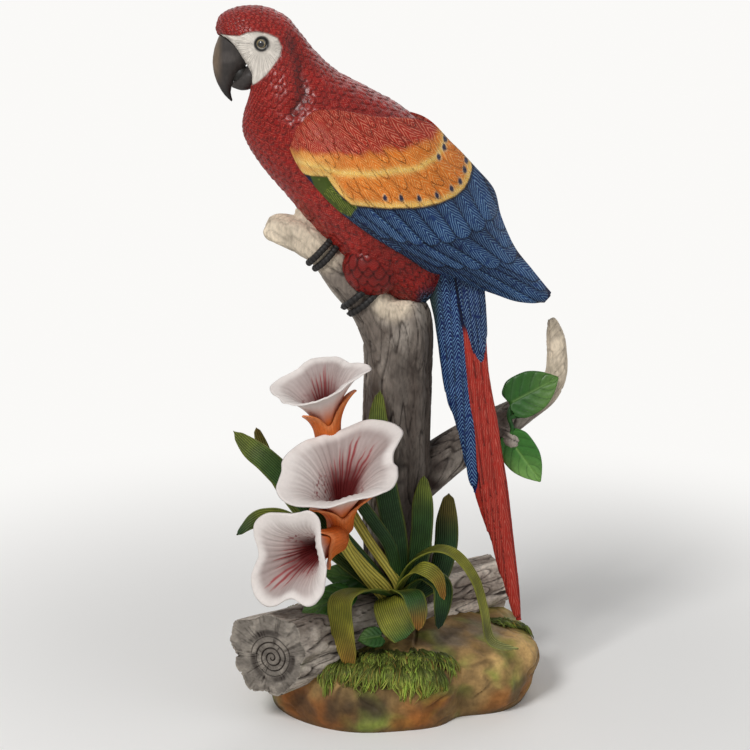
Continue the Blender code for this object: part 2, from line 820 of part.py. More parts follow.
def lily_rim(lily, angle):
    """Radius and height of the rim at an angle in degrees."""
    table = lily["rim"]
    samples = smooth_rows(table, 6 * len(table))
    nearest = min(samples, key=lambda row: abs(row[0] - angle))
    return nearest[1] * MM, nearest[2] * MM


def lily_ring(lily, share_at, offset):
    """A ring of the trumpet. share_at(angle) runs from 0 at the throat to 1 at the rim, and
    offset moves the ring out from the trumpet's face."""
    base, axis, start, side = lily_frame(lily)
    ring = []
    for k in range(LILY_SEGMENTS):
        degrees = 360 * k / LILY_SEGMENTS
        angle = math.radians(degrees)
        radius, height = lily_rim(lily, degrees)
        share = share_at(degrees)
        width = THROAT_RADIUS + (radius - THROAT_RADIUS) * share**FLARE
        widening = (radius - THROAT_RADIUS) * FLARE * share ** (FLARE - 1)
        roll = PETAL_ROLL * math.sin(math.pi * share**3)
        steepness = 1 + PETAL_ROLL * 3 * math.pi * share**2 * math.cos(math.pi * share**3)
        slope = math.atan2(widening, height * steepness)
        width += offset * math.cos(slope)
        rise = height * (share + roll) - offset * math.sin(slope)
        out = start * math.cos(angle) + side * math.sin(angle)
        ring.append(base + axis * rise + out * width)
    return ring


def make_bloom(label, lily, material):
    shares = (0.0, 0.2, 0.35, 0.5, 0.65, 0.8, 0.91, 1.0)
    outer = [lily_ring(lily, lambda _, s=s: s, 0.0) for s in shares]
    inner = [lily_ring(lily, lambda _, s=s: s, -PETAL_WALL) for s in reversed(shares[1:])]
    return give_way(loft(f"lily_{label}_bloom", outer + inner, material))


def make_calyx(label, lily, material):
    """A cup of pointed sepals that hugs the trumpet with a gap."""

    def tip(degrees):
        return 0.52 + 0.20 * math.cos(math.radians(SEPAL_COUNT * degrees + 40))

    base, axis, _, _ = lily_frame(lily)
    outer_offset = SLEEVE_GAP + SEPAL_WALL
    shares = (0.0, 0.4, 0.75, 1.0)
    outer = [lily_ring(lily, lambda d, s=s: s * tip(d), outer_offset) for s in shares]
    inner = [lily_ring(lily, lambda d, s=s: s * tip(d), SLEEVE_GAP) for s in reversed(shares)]
    root = [point - axis * (SLEEVE_GAP + 2 * SEPAL_WALL) for point in lily_ring(lily, lambda _: 0.0, 0.0)]
    floor = [point - axis * SLEEVE_GAP for point in inner[-1]]
    calyx = loft(f"lily_{label}_calyx", [root, *outer, *inner, floor], material)
    return give_way(calyx)


# Stem routes from just below each calyx to the crown, from the crown in mm
STEM_ROUTES = {
    "middle": ((-26.5, -12, 43), (-15, -7, 27), (-4, -3, 14), (0, -1, 5)),
    "top": ((-35, 3, 84), (-28, 3, 66), (-14, 0, 42), (3, -1, 16), (3, 0, 4)),
    "low": ((-24, -16, 37), (-14, -9, 20), (-6, -4, 9), (-2, -1, 3)),
}


def make_stem(label, lily, material):
    base, axis, _, _ = lily_frame(lily)
    root = base - axis * SEPAL_WALL
    rows = [(*(root - CROWN_AT), STEM_RADIUS * 1.3, STEM_RADIUS * 1.3)]
    rows += [(x * MM, y * MM, z * MM, STEM_RADIUS, STEM_RADIUS) for x, y, z in STEM_ROUTES[label]]
    stem = tube(f"lily_{label}_stem", rows, 12, 8, material, location=CROWN_AT)
    return give_way(stem)


# Foliage

# Strap leaves from the crown outwards, in mm from the crown: x, y, z, width
STRAP_LEAVES = {
    "strap_leaf_tall_left": (
        (0, 0, 8, 8), (-17, -4, 29, 11), (-36, -8, 51, 14), (-51, -10, 71, 16), (-72, -7, 92, 14),
        (-83, -3, 100, 12), (-93, 1, 109, 3),
    ),
    "strap_leaf_brown": (
        (-4, 3, 9, 6), (-37, 5, 37, 8), (-60, 7, 65, 8), (-71, 9, 83, 8), (-77, 11, 98, 7),
        (-80, 11, 108, 3),
    ),
    "strap_leaf_left_tip": (
        (-6, 1, 9, 6), (-37, -3, 37, 8), (-60, -7, 57, 9), (-74, -11, 61, 9), (-83, -15, 58, 8),
        (-91, -17, 51, 3),
    ),
    "strap_leaf_centre": (
        (5, 0, 13, 10), (2, -2, 43, 14), (-2.5, -4, 68, 14), (-6.5, -4, 93, 13),
        (-8.5, -2, 117, 11), (-7.3, 0, 134, 3),
    ),
    "strap_leaf_grey": (
        (3, -1, 16, 7), (-1, -3, 38, 8), (-10, -4, 53, 8), (-18, -4, 65, 7), (-28, -3, 80, 3),
    ),
    "strap_leaf_right": (
        (8, 0, 10, 9), (15, 1, 29, 13), (17.5, 1, 48, 13), (18, 2, 66, 12), (18.7, 3, 81, 3),
    ),
    "strap_leaf_dark": (
        (7, 3, 3, 9), (26, 13, 13, 12), (32, 19, 30, 14), (33, 23, 47, 13), (34, 25, 63, 5),
    ),
    "strap_leaf_arching": (
        (4, -1, 10, 8), (9, -3, 24, 9), (16, -7, 34, 10), (27, -11, 40, 9), (38, -15, 37, 9),
        (48, -19, 24, 9), (53, -23, 7, 9), (56, -27, -9, 9), (63, -29, -14, 7), (74, -27, -16, 2),
    ),
    "strap_leaf_short_curl": (
        (4, -4, 12, 8), (9, -11, 23, 9), (17, -17, 30, 10), (26, -21, 26, 9), (30, -23, 13, 3),
    ),
    "strap_leaf_front_left": (
        (-3, -4, 9, 9), (-13, -15, 16, 15), (-24, -25, 18, 17), (-30, -32, 14, 17),
        (-29, -35, -1, 16), (-26, -37, -16, 12), (-24, -38, -28, 3),
    ),
    "strap_leaf_front_broad": (
        (-1, -5, 8, 9), (-2, -15, 7, 18), (2, -23, -1, 20), (8, -28, -9, 14),
    ),
    "strap_leaf_front_folded": (
        (2, -5, 11, 8), (6, -15, 15, 13), (12, -23, 15, 13), (15, -29, 7, 11), (15, -31, -3, 3),
    ),
    "strap_leaf_drooping": (
        (8, -1, 9, 8), (20, -3, 20, 11), (29, -9, 17, 12), (29, -13, 5, 11), (27, -15, -8, 4),
    ),
}
# The direction across each strap leaf
LEAF_ACROSS = {
    "strap_leaf_tall_left": (0.55, 0.35, 0.75),
    "strap_leaf_brown": (0.6, 0.2, 0.75),
    "strap_leaf_left_tip": (0.3, 0.5, 0.8),
    "strap_leaf_front_left": (0.85, -0.5, 0.15),
    "strap_leaf_front_broad": (1, 0.1, 0.2),
    "strap_leaf_drooping": (0.8, 0.4, 0.4),
    "strap_leaf_arching": (0.45, 0.85, 0.2),
    "strap_leaf_short_curl": (0.7, 0.5, 0.5),
}


def make_strap_leaf(name, rows, material):
    """A blade with a shallow channel along its middle."""
    across_hint = Vector(LEAF_ACROSS.get(name, (1, 0, 0)))
    rows = smooth_rows([tuple(value * MM for value in row) for row in rows], 14 if len(rows) > 8 else 9)
    upper = []
    lower = []
    for i, row in enumerate(rows):
        centre = Vector(row[:3])
        tangent = Vector(rows[min(i + 1, len(rows) - 1)][:3]) - Vector(rows[max(i - 1, 0)][:3])
        tangent.normalize()
        across = (across_hint - across_hint.dot(tangent) * tangent).normalized()
        face = across.cross(tangent)
        thickness = LEAF_THICKNESS * (0.6 if i == len(rows) - 1 else 1.0)
        offsets = [(-0.5, LEAF_CHANNEL), (0.0, 0.0), (0.5, LEAF_CHANNEL)]
        edge = [centre + across * share * row[3] - face * rise for share, rise in offsets]
        upper.append([p - face * thickness / 2 for p in edge])
        lower.append([p + face * thickness / 2 for p in edge])
    return give_way(slab(name, upper, lower, material, CROWN_AT))


# Heart-shaped leaves: where the stalk joins and where the tip is, the direction that the face
# looks, all in mm, and the width. The first two are measured from the trunk's top, the rest
# from the crown of leaves.
HEART_LEAVES = {
    "heart_leaf_upper": ((69, 10, -66.5), (95, 13, -53), (-0.1, -1, 0.35), 25),
    "heart_leaf_lower": ((67, 9, -91), (85, 7, -116), (-0.1, -1, 0.2), 22),
    "ground_leaf_left": ((-28, -14, 13), (-53, -31, 7), (-0.2, -0.7, 0.7), 20),
    "ground_leaf_round": ((-8, -28, -8), (-20, -36, -7), (0.1, -0.8, 0.6), 13),
    "ground_leaf_dark": ((-14, 4, 15), (-42, 8, 20), (0.0, -0.9, 0.5), 18),
}
# Share of a heart-shaped leaf's length and of its half width
HEART_OUTLINE = ((0, 0.62), (0.14, 0.90), (0.32, 1.0), (0.52, 0.92), (0.72, 0.67), (0.88, 0.34), (1, 0.04))
HEART_LOBE = 0.17


def make_heart_leaf(name, material):
    stalk, tip, facing, width = HEART_LEAVES[name]
    anchor = Vector((0, 0, TRUNK_TOP)) if name.startswith("heart") else CROWN_AT
    start = Vector(stalk) * MM
    along = Vector(tip) * MM - start
    face = Vector(facing)
    face = (face - face.dot(along.normalized()) * along.normalized()).normalized()
    across = along.normalized().cross(face)
    upper = []
    lower = []
    for share, half_share in HEART_OUTLINE:
        half = width * MM / 2 * half_share
        line = []
        for k in range(-3, 4):
            v = k / 3
            lobe = HEART_LOBE * math.sin(math.pi * min(1, 0.75 * abs(v))) * (1 - share) ** 2
            hollow = 0.12 * half * v * v
            line.append(start + along * (share - lobe) + across * v * half + face * hollow)
        upper.append([p + face * HEART_LEAF_THICKNESS / 2 for p in line])
        lower.append([p - face * HEART_LEAF_THICKNESS / 2 for p in line])
    return give_way(slab(name, upper, lower, material, anchor))


VINE_ROUTE = ((72, 12, -66), (67, 11.5, -71), (66, 10, -77), (68, 9.5, -84), (68, 9, -91), (69, 9, -97))
VINE_TWIG_ROUTE = ((66, 10, -77), (71, 10, -76), (76, 11.5, -76), (82, 14, -73))


def make_vine(material):
    """A creeping stem on the side branch, with one twig."""

    def runner(name, route):
        rows = [(x * MM, y * MM, z * MM, VINE_RADIUS, VINE_RADIUS) for x, y, z in route]
        return tube(name, rows, 8, 6, material, location=Vector((0, 0, TRUNK_TOP)))

    return give_way(fuse(runner("vine_stem", VINE_ROUTE), runner("vine_twig", VINE_TWIG_ROUTE)))


def main():
    clear_scene()
    earth = paint("earth", (0.36, 0.27, 0.12), 0.7)
    weathered = paint("weathered_wood", (0.36, 0.32, 0.28), 0.75)
    red = paint("red_plumage", (0.60, 0.05, 0.04), 0.45)
    blue = paint("blue_plumage", (0.04, 0.12, 0.32), 0.45)
    tail_red = paint("tail_plumage", (0.62, 0.08, 0.05), 0.5)
    black = paint("black_toes", (0.03, 0.03, 0.03), 0.4)
    petal = paint("petal", (0.88, 0.80, 0.78), 0.5)
    orange = paint("sepal", (0.80, 0.30, 0.10), 0.5)
    stalk = paint("stalk", (0.42, 0.42, 0.12), 0.5)
    leaf = paint("strap_leaf", (0.12, 0.20, 0.07), 0.5)
    heart = paint("heart_leaf", (0.06, 0.22, 0.05), 0.45)

    make_ground(earth)
    make_log(weathered)
    make_stump(weathered)
    make_side_branch(weathered)
    make_macaw_body(red)
    make_tail(tail_red)
    make_wing("macaw_left_wing", -1, blue)
    make_wing("macaw_right_wing", 1, blue)
    for name, share, spread, parting in FEET:
        make_foot(name, share, spread, parting, black)
    crown = ball("leaf_crown", CROWN_AT, Vector((12, 9, 13)) * MM, leaf, 12)
    give_way(crown)
    for label, lily in LILIES.items():
        make_bloom(label, lily, petal)
        make_calyx(label, lily, orange)
        make_stem(label, lily, stalk)
    for name, rows in STRAP_LEAVES.items():
        make_strap_leaf(name, rows, leaf)
    for name in HEART_LEAVES:
        make_heart_leaf(name, heart)
    make_vine(stalk)


main()
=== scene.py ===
"""Looks of the macaw figurine: modelled feathers, bark, petals and leaves in painted porcelain.

Run as a script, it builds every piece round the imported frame. Shapes are worked out in
millimetres, with +Z up, the bird looking along -X and the front of the figure facing -Y.
"""

import itertools
import math

import bpy
import mathutils.noise
import numpy as np
from bpy.props import FloatProperty, FloatVectorProperty, IntProperty, PointerProperty
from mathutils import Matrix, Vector
from mathutils.bvhtree import BVHTree


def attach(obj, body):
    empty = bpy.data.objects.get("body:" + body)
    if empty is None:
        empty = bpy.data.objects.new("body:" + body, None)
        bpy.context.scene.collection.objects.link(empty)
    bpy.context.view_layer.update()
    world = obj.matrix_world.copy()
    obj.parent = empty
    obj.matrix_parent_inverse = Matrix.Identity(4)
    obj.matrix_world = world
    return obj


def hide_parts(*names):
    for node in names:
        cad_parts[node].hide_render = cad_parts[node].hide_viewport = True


bl_info = {
    "name": "Macaw Figurine",
    "version": (1, 0, 0),
    "blender": (4, 5, 0),
    "location": "View3D > Sidebar > Figurine",
    "description": "Models the painted porcelain macaw, its stump, lilies and ground",
    "category": "Object",
}

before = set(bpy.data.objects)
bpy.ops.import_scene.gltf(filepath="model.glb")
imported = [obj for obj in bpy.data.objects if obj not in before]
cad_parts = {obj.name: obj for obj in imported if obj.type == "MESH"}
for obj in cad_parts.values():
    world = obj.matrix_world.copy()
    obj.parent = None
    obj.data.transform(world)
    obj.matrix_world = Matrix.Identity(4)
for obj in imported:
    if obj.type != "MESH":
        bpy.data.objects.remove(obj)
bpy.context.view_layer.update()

MM = 0.001
TRUNK_TOP = 246.0
CROWN = np.array((-4.0, -23.0, 61.0))
SEED = 11


# Numbers on curves and surfaces


def glaze(red, green, blue):
    """A linear colour from 0 to 255 display values."""
    shares = [value / 255 for value in (red, green, blue)]
    return tuple(s / 12.92 if s <= 0.04045 else ((s + 0.055) / 1.055) ** 2.4 for s in shares)


def ease(low, high, value):
    """0 below low, 1 above high, and a smooth step between."""
    share = np.clip((value - low) / (high - low), 0, 1)
    return share * share * (3 - 2 * share)


def mix(first, second, share):
    first, second = np.asarray(first), np.asarray(second)
    return first + (second - first) * np.asarray(share)[..., None]


def unit(vectors):
    return vectors / np.maximum(np.linalg.norm(vectors, axis=-1, keepdims=True), 1e-9)


def spline(table, where):
    """Rows on the Catmull-Rom curve through a table: a count, or places from 0 to its last row."""
    table = np.array(table, float)
    last = len(table) - 1
    place = np.linspace(0, last, where) if isinstance(where, int) else np.asarray(where, float)
    i = np.minimum(place.astype(int), last - 1)
    t = (place - i)[..., None]
    a, b, c, d = table[np.maximum(i - 1, 0)], table[i], table[i + 1], table[np.minimum(i + 2, last)]
    bend = (2 * a - 5 * b + 4 * c - d) * t**2 + (3 * b - a - 3 * c + d) * t**3
    return 0.5 * (2 * b + (c - a) * t + bend)


def polyline(points, shares):
    """Points at even shares of a polyline's length."""
    points = np.array(points, float)
    steps = np.linalg.norm(np.diff(points, axis=0), axis=1)
    reach = np.concatenate([[0], np.cumsum(steps)])
    at = np.asarray(shares) * reach[-1]
    return np.stack([np.interp(at, reach, points[:, k]) for k in range(points.shape[1])], -1)


DICE = np.random.default_rng(SEED)
SLOPES = unit(DICE.normal(size=(256, 3)))
SHUFFLE = DICE.permutation(256)


def noise(points, size, seed=0):
    """Smooth noise in about -1 to 1, with lumps of the given size."""
    place = np.asarray(points) / size + seed * 17.31
    cell = np.floor(place).astype(int)
    part = place - cell
    fade = part**3 * (part * (part * 6 - 15) + 10)
    total = np.zeros(part.shape[:-1])
    for corner in itertools.product((0, 1), repeat=3):
        at = (cell + corner) & 255
        key = SHUFFLE[(SHUFFLE[(SHUFFLE[at[..., 0]] + at[..., 1]) & 255] + at[..., 2]) & 255]
        weight = np.prod(np.where(corner, fade, 1 - fade), axis=-1)
        total += weight * (SLOPES[key] * (part - corner)).sum(-1)
    return total * 1.6


def grain(points, direction, size, seed=0):
    """Noise drawn out along a direction, as in bark and old wood."""
    direction = unit(np.array(direction, float))
    along = points @ direction
    return noise(points - 0.87 * along[..., None] * direction, size, seed)


def flat_noise(x, z, size, seed):
    """Noise over the x-z plane, the same all through."""
    return noise(np.stack([x, z, 0 * x], -1), size, seed)


def drift(points, size, seed):
    """Noise in each direction, for a place that wanders."""
    return np.stack([noise(points, size, seed + k) for k in range(3)], -1)


def chance(*keys):
    """An even random number in 0 to 1 for each set of whole numbers."""
    total = SEED
    for key in keys:
        total = SHUFFLE[(np.asarray(key).astype(int) + total) & 255]
    return total / 255


def inside_outline(x, z, outline):
    """Distance in mm to a closed outline in the x-z plane, above 0 inside it."""
    outline = np.array(outline, float)
    nearest = np.full(x.shape, 1e9)
    inside = np.zeros(x.shape, bool)
    for start, end in zip(outline, np.roll(outline, -1, 0)):
        edge = end - start
        share = np.clip(((x - start[0]) * edge[0] + (z - start[1]) * edge[1]) / (edge @ edge), 0, 1)
        gap = np.hypot(x - start[0] - share * edge[0], z - start[1] - share * edge[1])
        nearest = np.minimum(nearest, gap)
        if start[1] != end[1]:
            crossing = (start[1] > z) != (end[1] > z)
            inside ^= crossing & (x < start[0] + (z - start[1]) * edge[0] / edge[1])
    return np.where(inside, nearest, -nearest)


def turns(count):
    """Even angles round a circle."""
    return np.arange(count) / count * math.tau


def there_and_back(first, last, there, back):
    """Places over an upper face and back below it, and which of them are above."""
    places = np.concatenate([np.linspace(first, last, there), np.linspace(last, first, back)[1:-1]])
    return places, np.arange(len(places)) < there


def tube(rows, segments, hint=(0, 1, 0)):
    """Rings round a path whose rows are x, y, z, radius across, radius sideways."""
    rows = np.asarray(rows, float)
    centre = rows[:, :3]
    tangent = unit(np.gradient(centre, axis=0))
    hint = np.array(hint, float)
    side = unit(hint - (tangent @ hint)[:, None] * tangent)
    across = np.cross(side, tangent)
    turn = turns(segments)
    spoke = across[:, None] * (np.cos(turn)[None, :, None] * rows[:, None, 3:4])
    spoke = spoke + side[:, None] * (np.sin(turn)[None, :, None] * rows[:, None, 4:5])
    return centre[:, None] + spoke


def outward(rings):
    """Unit normals that point away from the middle of each ring."""
    around = np.roll(rings, -1, 1) - np.roll(rings, 1, 1)
    normal = unit(np.cross(around, np.gradient(rings, axis=0)))
    spoke = rings - rings.mean(1, keepdims=True)
    return normal * np.sign((normal * spoke).sum(-1).mean())


def unit_ball(rows, columns, cap):
    """Rings of a ball of radius 1 round the z axis, which stop an angle short of its poles."""
    tilt = np.linspace(cap, math.pi - cap, rows)[:, None]
    turn = turns(columns)[None]
    return np.stack([np.sin(tilt) * np.cos(turn), np.sin(tilt) * np.sin(turn), np.cos(tilt) + 0 * turn], -1)


# Feathers

# Half width of a round-ended feather, as a share of the room it has in its row
SCALE_HALF_WIDTH = 0.54


def scale_coat(row, column, columns, length):
    """Rows of overlapping, round-ended feathers. row and column count feathers down and round the
    bird, and length is how many rows a feather spans. Returns the fields that shape and paint it."""
    lift, along, across, crevice_shade, tone = (np.zeros(row.shape) for _ in range(5))
    for back in range(math.ceil(length) + 1):
        root = np.floor(row) - back
        stagger = 0.5 * (root % 2)
        nearest = np.round(column - stagger)
        key = nearest % columns
        reach = length * (0.88 + 0.24 * chance(root, key, 1))
        a = (row - root - 0.3 * chance(root, key, 2)) / reach
        c = (column - stagger - nearest - 0.2 * (chance(root, key, 3) - 0.5)) / SCALE_HALF_WIDTH
        q = np.where(a < 0.5, np.abs(c), np.hypot(c, (a - 0.5) / 0.5))
        inside = (q < 1) & (a > 0)
        # Painted shade: each feather darkens the feathers under it just beyond its edge
        shadow = np.exp(-np.maximum(q - 1, 0) / 0.13) * (a > 0.3)
        crevice_shade = np.where(inside, 0, np.maximum(crevice_shade, shadow))
        lift = np.where(inside, np.clip(a, 0, 1) ** 1.3 * (1 - 0.35 * q**6), lift)
        along = np.where(inside, a * length, along)
        across = np.where(inside, c, across)
        tone = np.where(inside, chance(root, key, 4), tone)
    return dict(lift=lift, along=along, across=across, crevice_shade=crevice_shade, tone=tone)


def vane_row(roots, tips, count, width, lift):
    """Long feathers between two lines, each as its root, tip, width and lift."""
    shares = (np.arange(count) + 0.5) / count
    starts, ends = polyline(roots, shares), polyline(tips, shares)
    return [(start, end, width, lift) for start, end in zip(starts, ends)]


def lay_vanes(x, z, vanes):
    """Long feathers laid over each other in order, in the x-z plane. Returns the fields that
    shape and paint them, with the places along and across a feather in mm."""
    lift, along, across, crevice_shade, tone = (np.zeros(x.shape) for _ in range(5))
    for number, (root, tip, width, height) in enumerate(vanes):
        step = tip - root
        length = np.hypot(*step)
        step = step / length
        a = ((x - root[0]) * step[0] + (z - root[1]) * step[1]) / length
        c = ((z - root[1]) * step[0] - (x - root[0]) * step[1]) / (width / 2)
        bend = 1 - min(0.6 * width / length, 0.6)
        q = np.where(a < bend, np.abs(c), np.hypot(c, (a - bend) / (1 - bend)))
        inside = (q < 1) & (a > 0)
        # Painted shade: each vane darkens the vanes under it just beyond its edge
        shadow = np.exp(-np.maximum(q - 1, 0) * width / 2 / 0.42) * (a > 0)
        crevice_shade = np.where(inside, 0, np.maximum(crevice_shade, shadow))
        shaft = 0.22 * np.exp(-((c * width / 2 / 0.35) ** 2))
        profile = height * (0.25 + 0.75 * a) * (1 - 0.4 * q**4) + shaft
        lift = np.where(inside, profile, lift)
        along = np.where(inside, a * length, along)
        across = np.where(inside, c * width / 2, across)
        tone = np.where(inside, chance(number, 5), tone)
    return dict(lift=lift, along=along, across=across, crevice_shade=crevice_shade, tone=tone)


# Pieces


def roll_up(rings):
    """The rings with their ends drawn together, and the first column repeated at the seam."""
    start, end = (np.broadcast_to(row.mean(0), row.shape) for row in (rings[0], rings[-1]))
    full = np.concatenate([start[None], rings, end[None]])
    return np.concatenate([full, full[:, :1]], 1)


def grid_piece(name, rings, **fields):
    """A closed piece: a grid primitive rolled into a tube, with seam and poles merged.
    fields are colours or numbers for each point, which the glazes read as attributes."""
    fields = {key: np.asarray(values)[None] for key, values in fields.items()}
    return grid_pieces(name, rings[None], **fields)


def grid_pieces(name, rings, **fields):
    """Closed pieces of one pattern in one mesh: an array of one grid, each copy with its own rings."""
    points = np.stack([roll_up(one * MM) for one in rings])
    copies, rows, columns = points.shape[:3]
    bpy.ops.object.select_all(action="DESELECT")
    bpy.ops.mesh.primitive_grid_add(x_subdivisions=columns - 1, y_subdivisions=rows - 1, size=1)
    piece = bpy.context.object
    piece.name = name
    piece.data.name = name
    if copies > 1:
        apply_modifier(piece, "ARRAY", count=copies)
    piece.data.vertices.foreach_set("co", points.astype(np.float32).ravel())
    for key, values in fields.items():
        values = np.asarray(values, float).reshape(*rings.shape[:3], -1)
        store(piece, key, np.stack([roll_up(one) for one in values]))
    bpy.ops.object.mode_set(mode="EDIT")
    bpy.ops.mesh.select_all(action="SELECT")
    bpy.ops.mesh.remove_doubles(threshold=1e-6)
    bpy.ops.mesh.normals_make_consistent(inside=False)
    bpy.ops.object.mode_set(mode="OBJECT")
    bpy.ops.object.shade_smooth()
    return piece


def store(piece, key, values):
    """Keeps a colour or a number for each point as an attribute of the mesh."""
    values = values.reshape(len(piece.data.vertices), -1)
    if values.shape[1] == 3:
        colours = np.concatenate([np.clip(values, 0, 1), np.ones((len(values), 1))], 1)
        attribute = piece.data.color_attributes.new(name=key, type="FLOAT_COLOR", domain="POINT")
        attribute.data.foreach_set("color", colours.astype(np.float32).ravel())
    else:
        attribute = piece.data.attributes.new(name=key, type="FLOAT", domain="POINT")
        attribute.data.foreach_set("value", values.astype(np.float32).ravel())


def join(name, pieces):
    bpy.ops.object.select_all(action="DESELECT")
    for piece in pieces:
        piece.select_set(True)
    bpy.context.view_layer.objects.active = pieces[0]
    bpy.ops.object.join()
    pieces[0].name = name
    pieces[0].data.name = name
    return pieces[0]


def apply_modifier(piece, kind, **values):
    bpy.context.view_layer.objects.active = piece
    modifier = piece.modifiers.new(kind.lower(), kind)
    for key, value in values.items():
        setattr(modifier, key, value)
    bpy.ops.object.modifier_apply(modifier=modifier.name)


def read_points(piece, key="co"):
    values = np.empty(len(piece.data.vertices) * 3, np.float32)
    source = piece.data.vertices if key == "co" else piece.data.vertex_normals
    source.foreach_get("co" if key == "co" else "vector", values)
    return values.reshape(-1, 3).astype(float)


def finish(piece, key, slot, *nodes):
    """Gives a piece its glaze and its place in the frame."""
    piece.data.materials.clear()
    piece.data.materials.append(glaze_of(key))
    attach(piece, "root")
    if nodes:
        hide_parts(*nodes)
    return piece


# Glazes


class Bench:
    """A material's node tree, with short words for the nodes that the glazes use."""

    def __init__(self, name, roughness, **sockets):
        self.material = bpy.data.materials.new(name)
        self.material.use_nodes = True
        self.tree = self.material.node_tree
        self.shader = self.tree.nodes["Principled BSDF"]
        self.shader.inputs["Roughness"].default_value = roughness
        self.shader.inputs["Specular IOR Level"].default_value = 0.18
        for socket, value in sockets.items():
            self.shader.inputs[socket.replace("_", " ")].default_value = value
        self.place = self.add("TexCoord").outputs["Object"]

    def add(self, kind, inputs=(), **settings):
        node = self.tree.nodes.new("ShaderNode" + kind)
        for key, value in settings.items():
            setattr(node, key, value)
        for socket, value in dict(inputs).items():
            self.feed(node.inputs[socket], value)
        return node

    def feed(self, socket, value):
        if isinstance(value, bpy.types.NodeSocket):
            self.tree.links.new(value, socket)
        else:
            socket.default_value = value

    def attribute(self, name, output="Color"):
        return self.add("Attribute", attribute_name=name).outputs[output]

    def noise(self, size, stretch=(1, 1, 1), detail=3.0):
        """Noise with lumps of the given size in mm, drawn out by stretch."""
        vector = self.add("Mapping", {"Vector": self.place, "Scale": stretch}).outputs["Vector"]
        inputs = {"Vector": vector, "Scale": 1 / (size * MM), "Detail": detail}
        return self.add("TexNoise", inputs).outputs["Fac"]

    def maths(self, operation, first, second=0.0):
        return self.add("Math", {0: first, 1: second}, operation=operation).outputs[0]

    def fit(self, value, low, high, to_low=0.0, to_high=1.0):
        inputs = {"Value": value, "From Min": low, "From Max": high, "To Min": to_low, "To Max": to_high}
        return self.add("MapRange", inputs, interpolation_type="SMOOTHSTEP").outputs["Result"]

    def mix(self, first, second, share, blend="MIX"):
        node = self.add("Mix", data_type="RGBA", blend_type=blend)
        self.feed(node.inputs[0], share)
        self.feed(node.inputs[6], first)
        self.feed(node.inputs[7], second)
        return node.outputs[2]

    def bump(self, height, distance, normal=None):
        """Relief of the given depth in mm."""
        inputs = {"Height": height, "Distance": distance * MM, "Strength": 1.0}
        if normal:
            inputs["Normal"] = normal
        return self.add("Bump", inputs).outputs["Normal"]

    def done(self, colour, normal=None, roughness=None):
        self.feed(self.shader.inputs["Base Color"], colour)
        if normal:
            self.feed(self.shader.inputs["Normal"], normal)
        if roughness:
            self.feed(self.shader.inputs["Roughness"], roughness)
        return self.material


def stroke_mask(bench, spacing):
    """Fine strokes along the barbs of a coat of feathers, from the distance across them in mm."""
    wander = bench.maths("MULTIPLY", bench.noise(6.0, detail=1.0), 1.6)
    barb = bench.maths("ADD", bench.attribute("barb", "Fac"), wander)
    wave = bench.maths("SINE", bench.maths("MULTIPLY", barb, math.tau / spacing))
    broken = bench.fit(bench.noise(3.6, detail=1.0), 0.22, 0.48)
    return bench.maths("MULTIPLY", bench.fit(wave, 0.05, 0.95), broken)


def plumage_glaze(name, roughness, spacing, strength, relief, coat=0.0):
    bench = Bench(name, roughness, Coat_Weight=coat, Coat_Roughness=0.2)
    strokes = stroke_mask(bench, spacing)
    share = bench.maths("MULTIPLY", strokes, strength)
    colour = bench.mix(bench.attribute("ground"), bench.attribute("stroke"), share)
    mottle = bench.fit(bench.noise(9.0), 0.3, 0.7, 0.88, 1.1)
    colour = bench.mix(colour, mottle, 1.0, "MULTIPLY")
    normal = bench.bump(strokes, relief)
    normal = bench.bump(bench.noise(1.6), 0.12, normal)
    shine = bench.fit(bench.noise(4.0), 0.3, 0.7, roughness - 0.07, roughness + 0.1)
    return bench.done(colour, normal, shine)


def painted_glaze(name, roughness, grit, depth, contrast, stretch=(1, 1, 1), coat=0.0):
    """A hand-painted surface: its colour comes from the mesh, and fine relief from noise."""
    bench = Bench(name, roughness, Coat_Weight=coat)
    fine = bench.noise(grit, stretch)
    tone = bench.fit(fine, 0.25, 0.75, 1 - contrast, 1 + contrast)
    colour = bench.mix(bench.attribute("ground"), tone, 1.0, "MULTIPLY")
    shine = bench.fit(bench.noise(grit * 3), 0.3, 0.7, roughness - 0.06, roughness + 0.08)
    return bench.done(colour, bench.bump(fine, depth), shine)


def ribbed_glaze(name, roughness, spacing, depth):
    """A leaf or petal with fine ribs, counted in mm across its face."""
    bench = Bench(name, roughness)
    wave = bench.maths("SINE", bench.maths("MULTIPLY", bench.attribute("rib", "Fac"), math.tau / spacing))
    rib = bench.fit(wave, -1.0, 0.6)
    dark = bench.fit(rib, 0.0, 1.0, 0.5, 1.16)
    colour = bench.mix(bench.attribute("ground"), dark, bench.attribute("ribbed", "Fac"), "MULTIPLY")
    colour = bench.mix(colour, bench.fit(bench.noise(6.0), 0.3, 0.7, 0.85, 1.15), 1.0, "MULTIPLY")
    normal = bench.bump(rib, depth)
    normal = bench.bump(bench.noise(1.0), 0.05, normal)
    return bench.done(colour, normal)


# Distance between the ribs of a strap leaf in mm
LEAF_RIB_STEP = 1.25
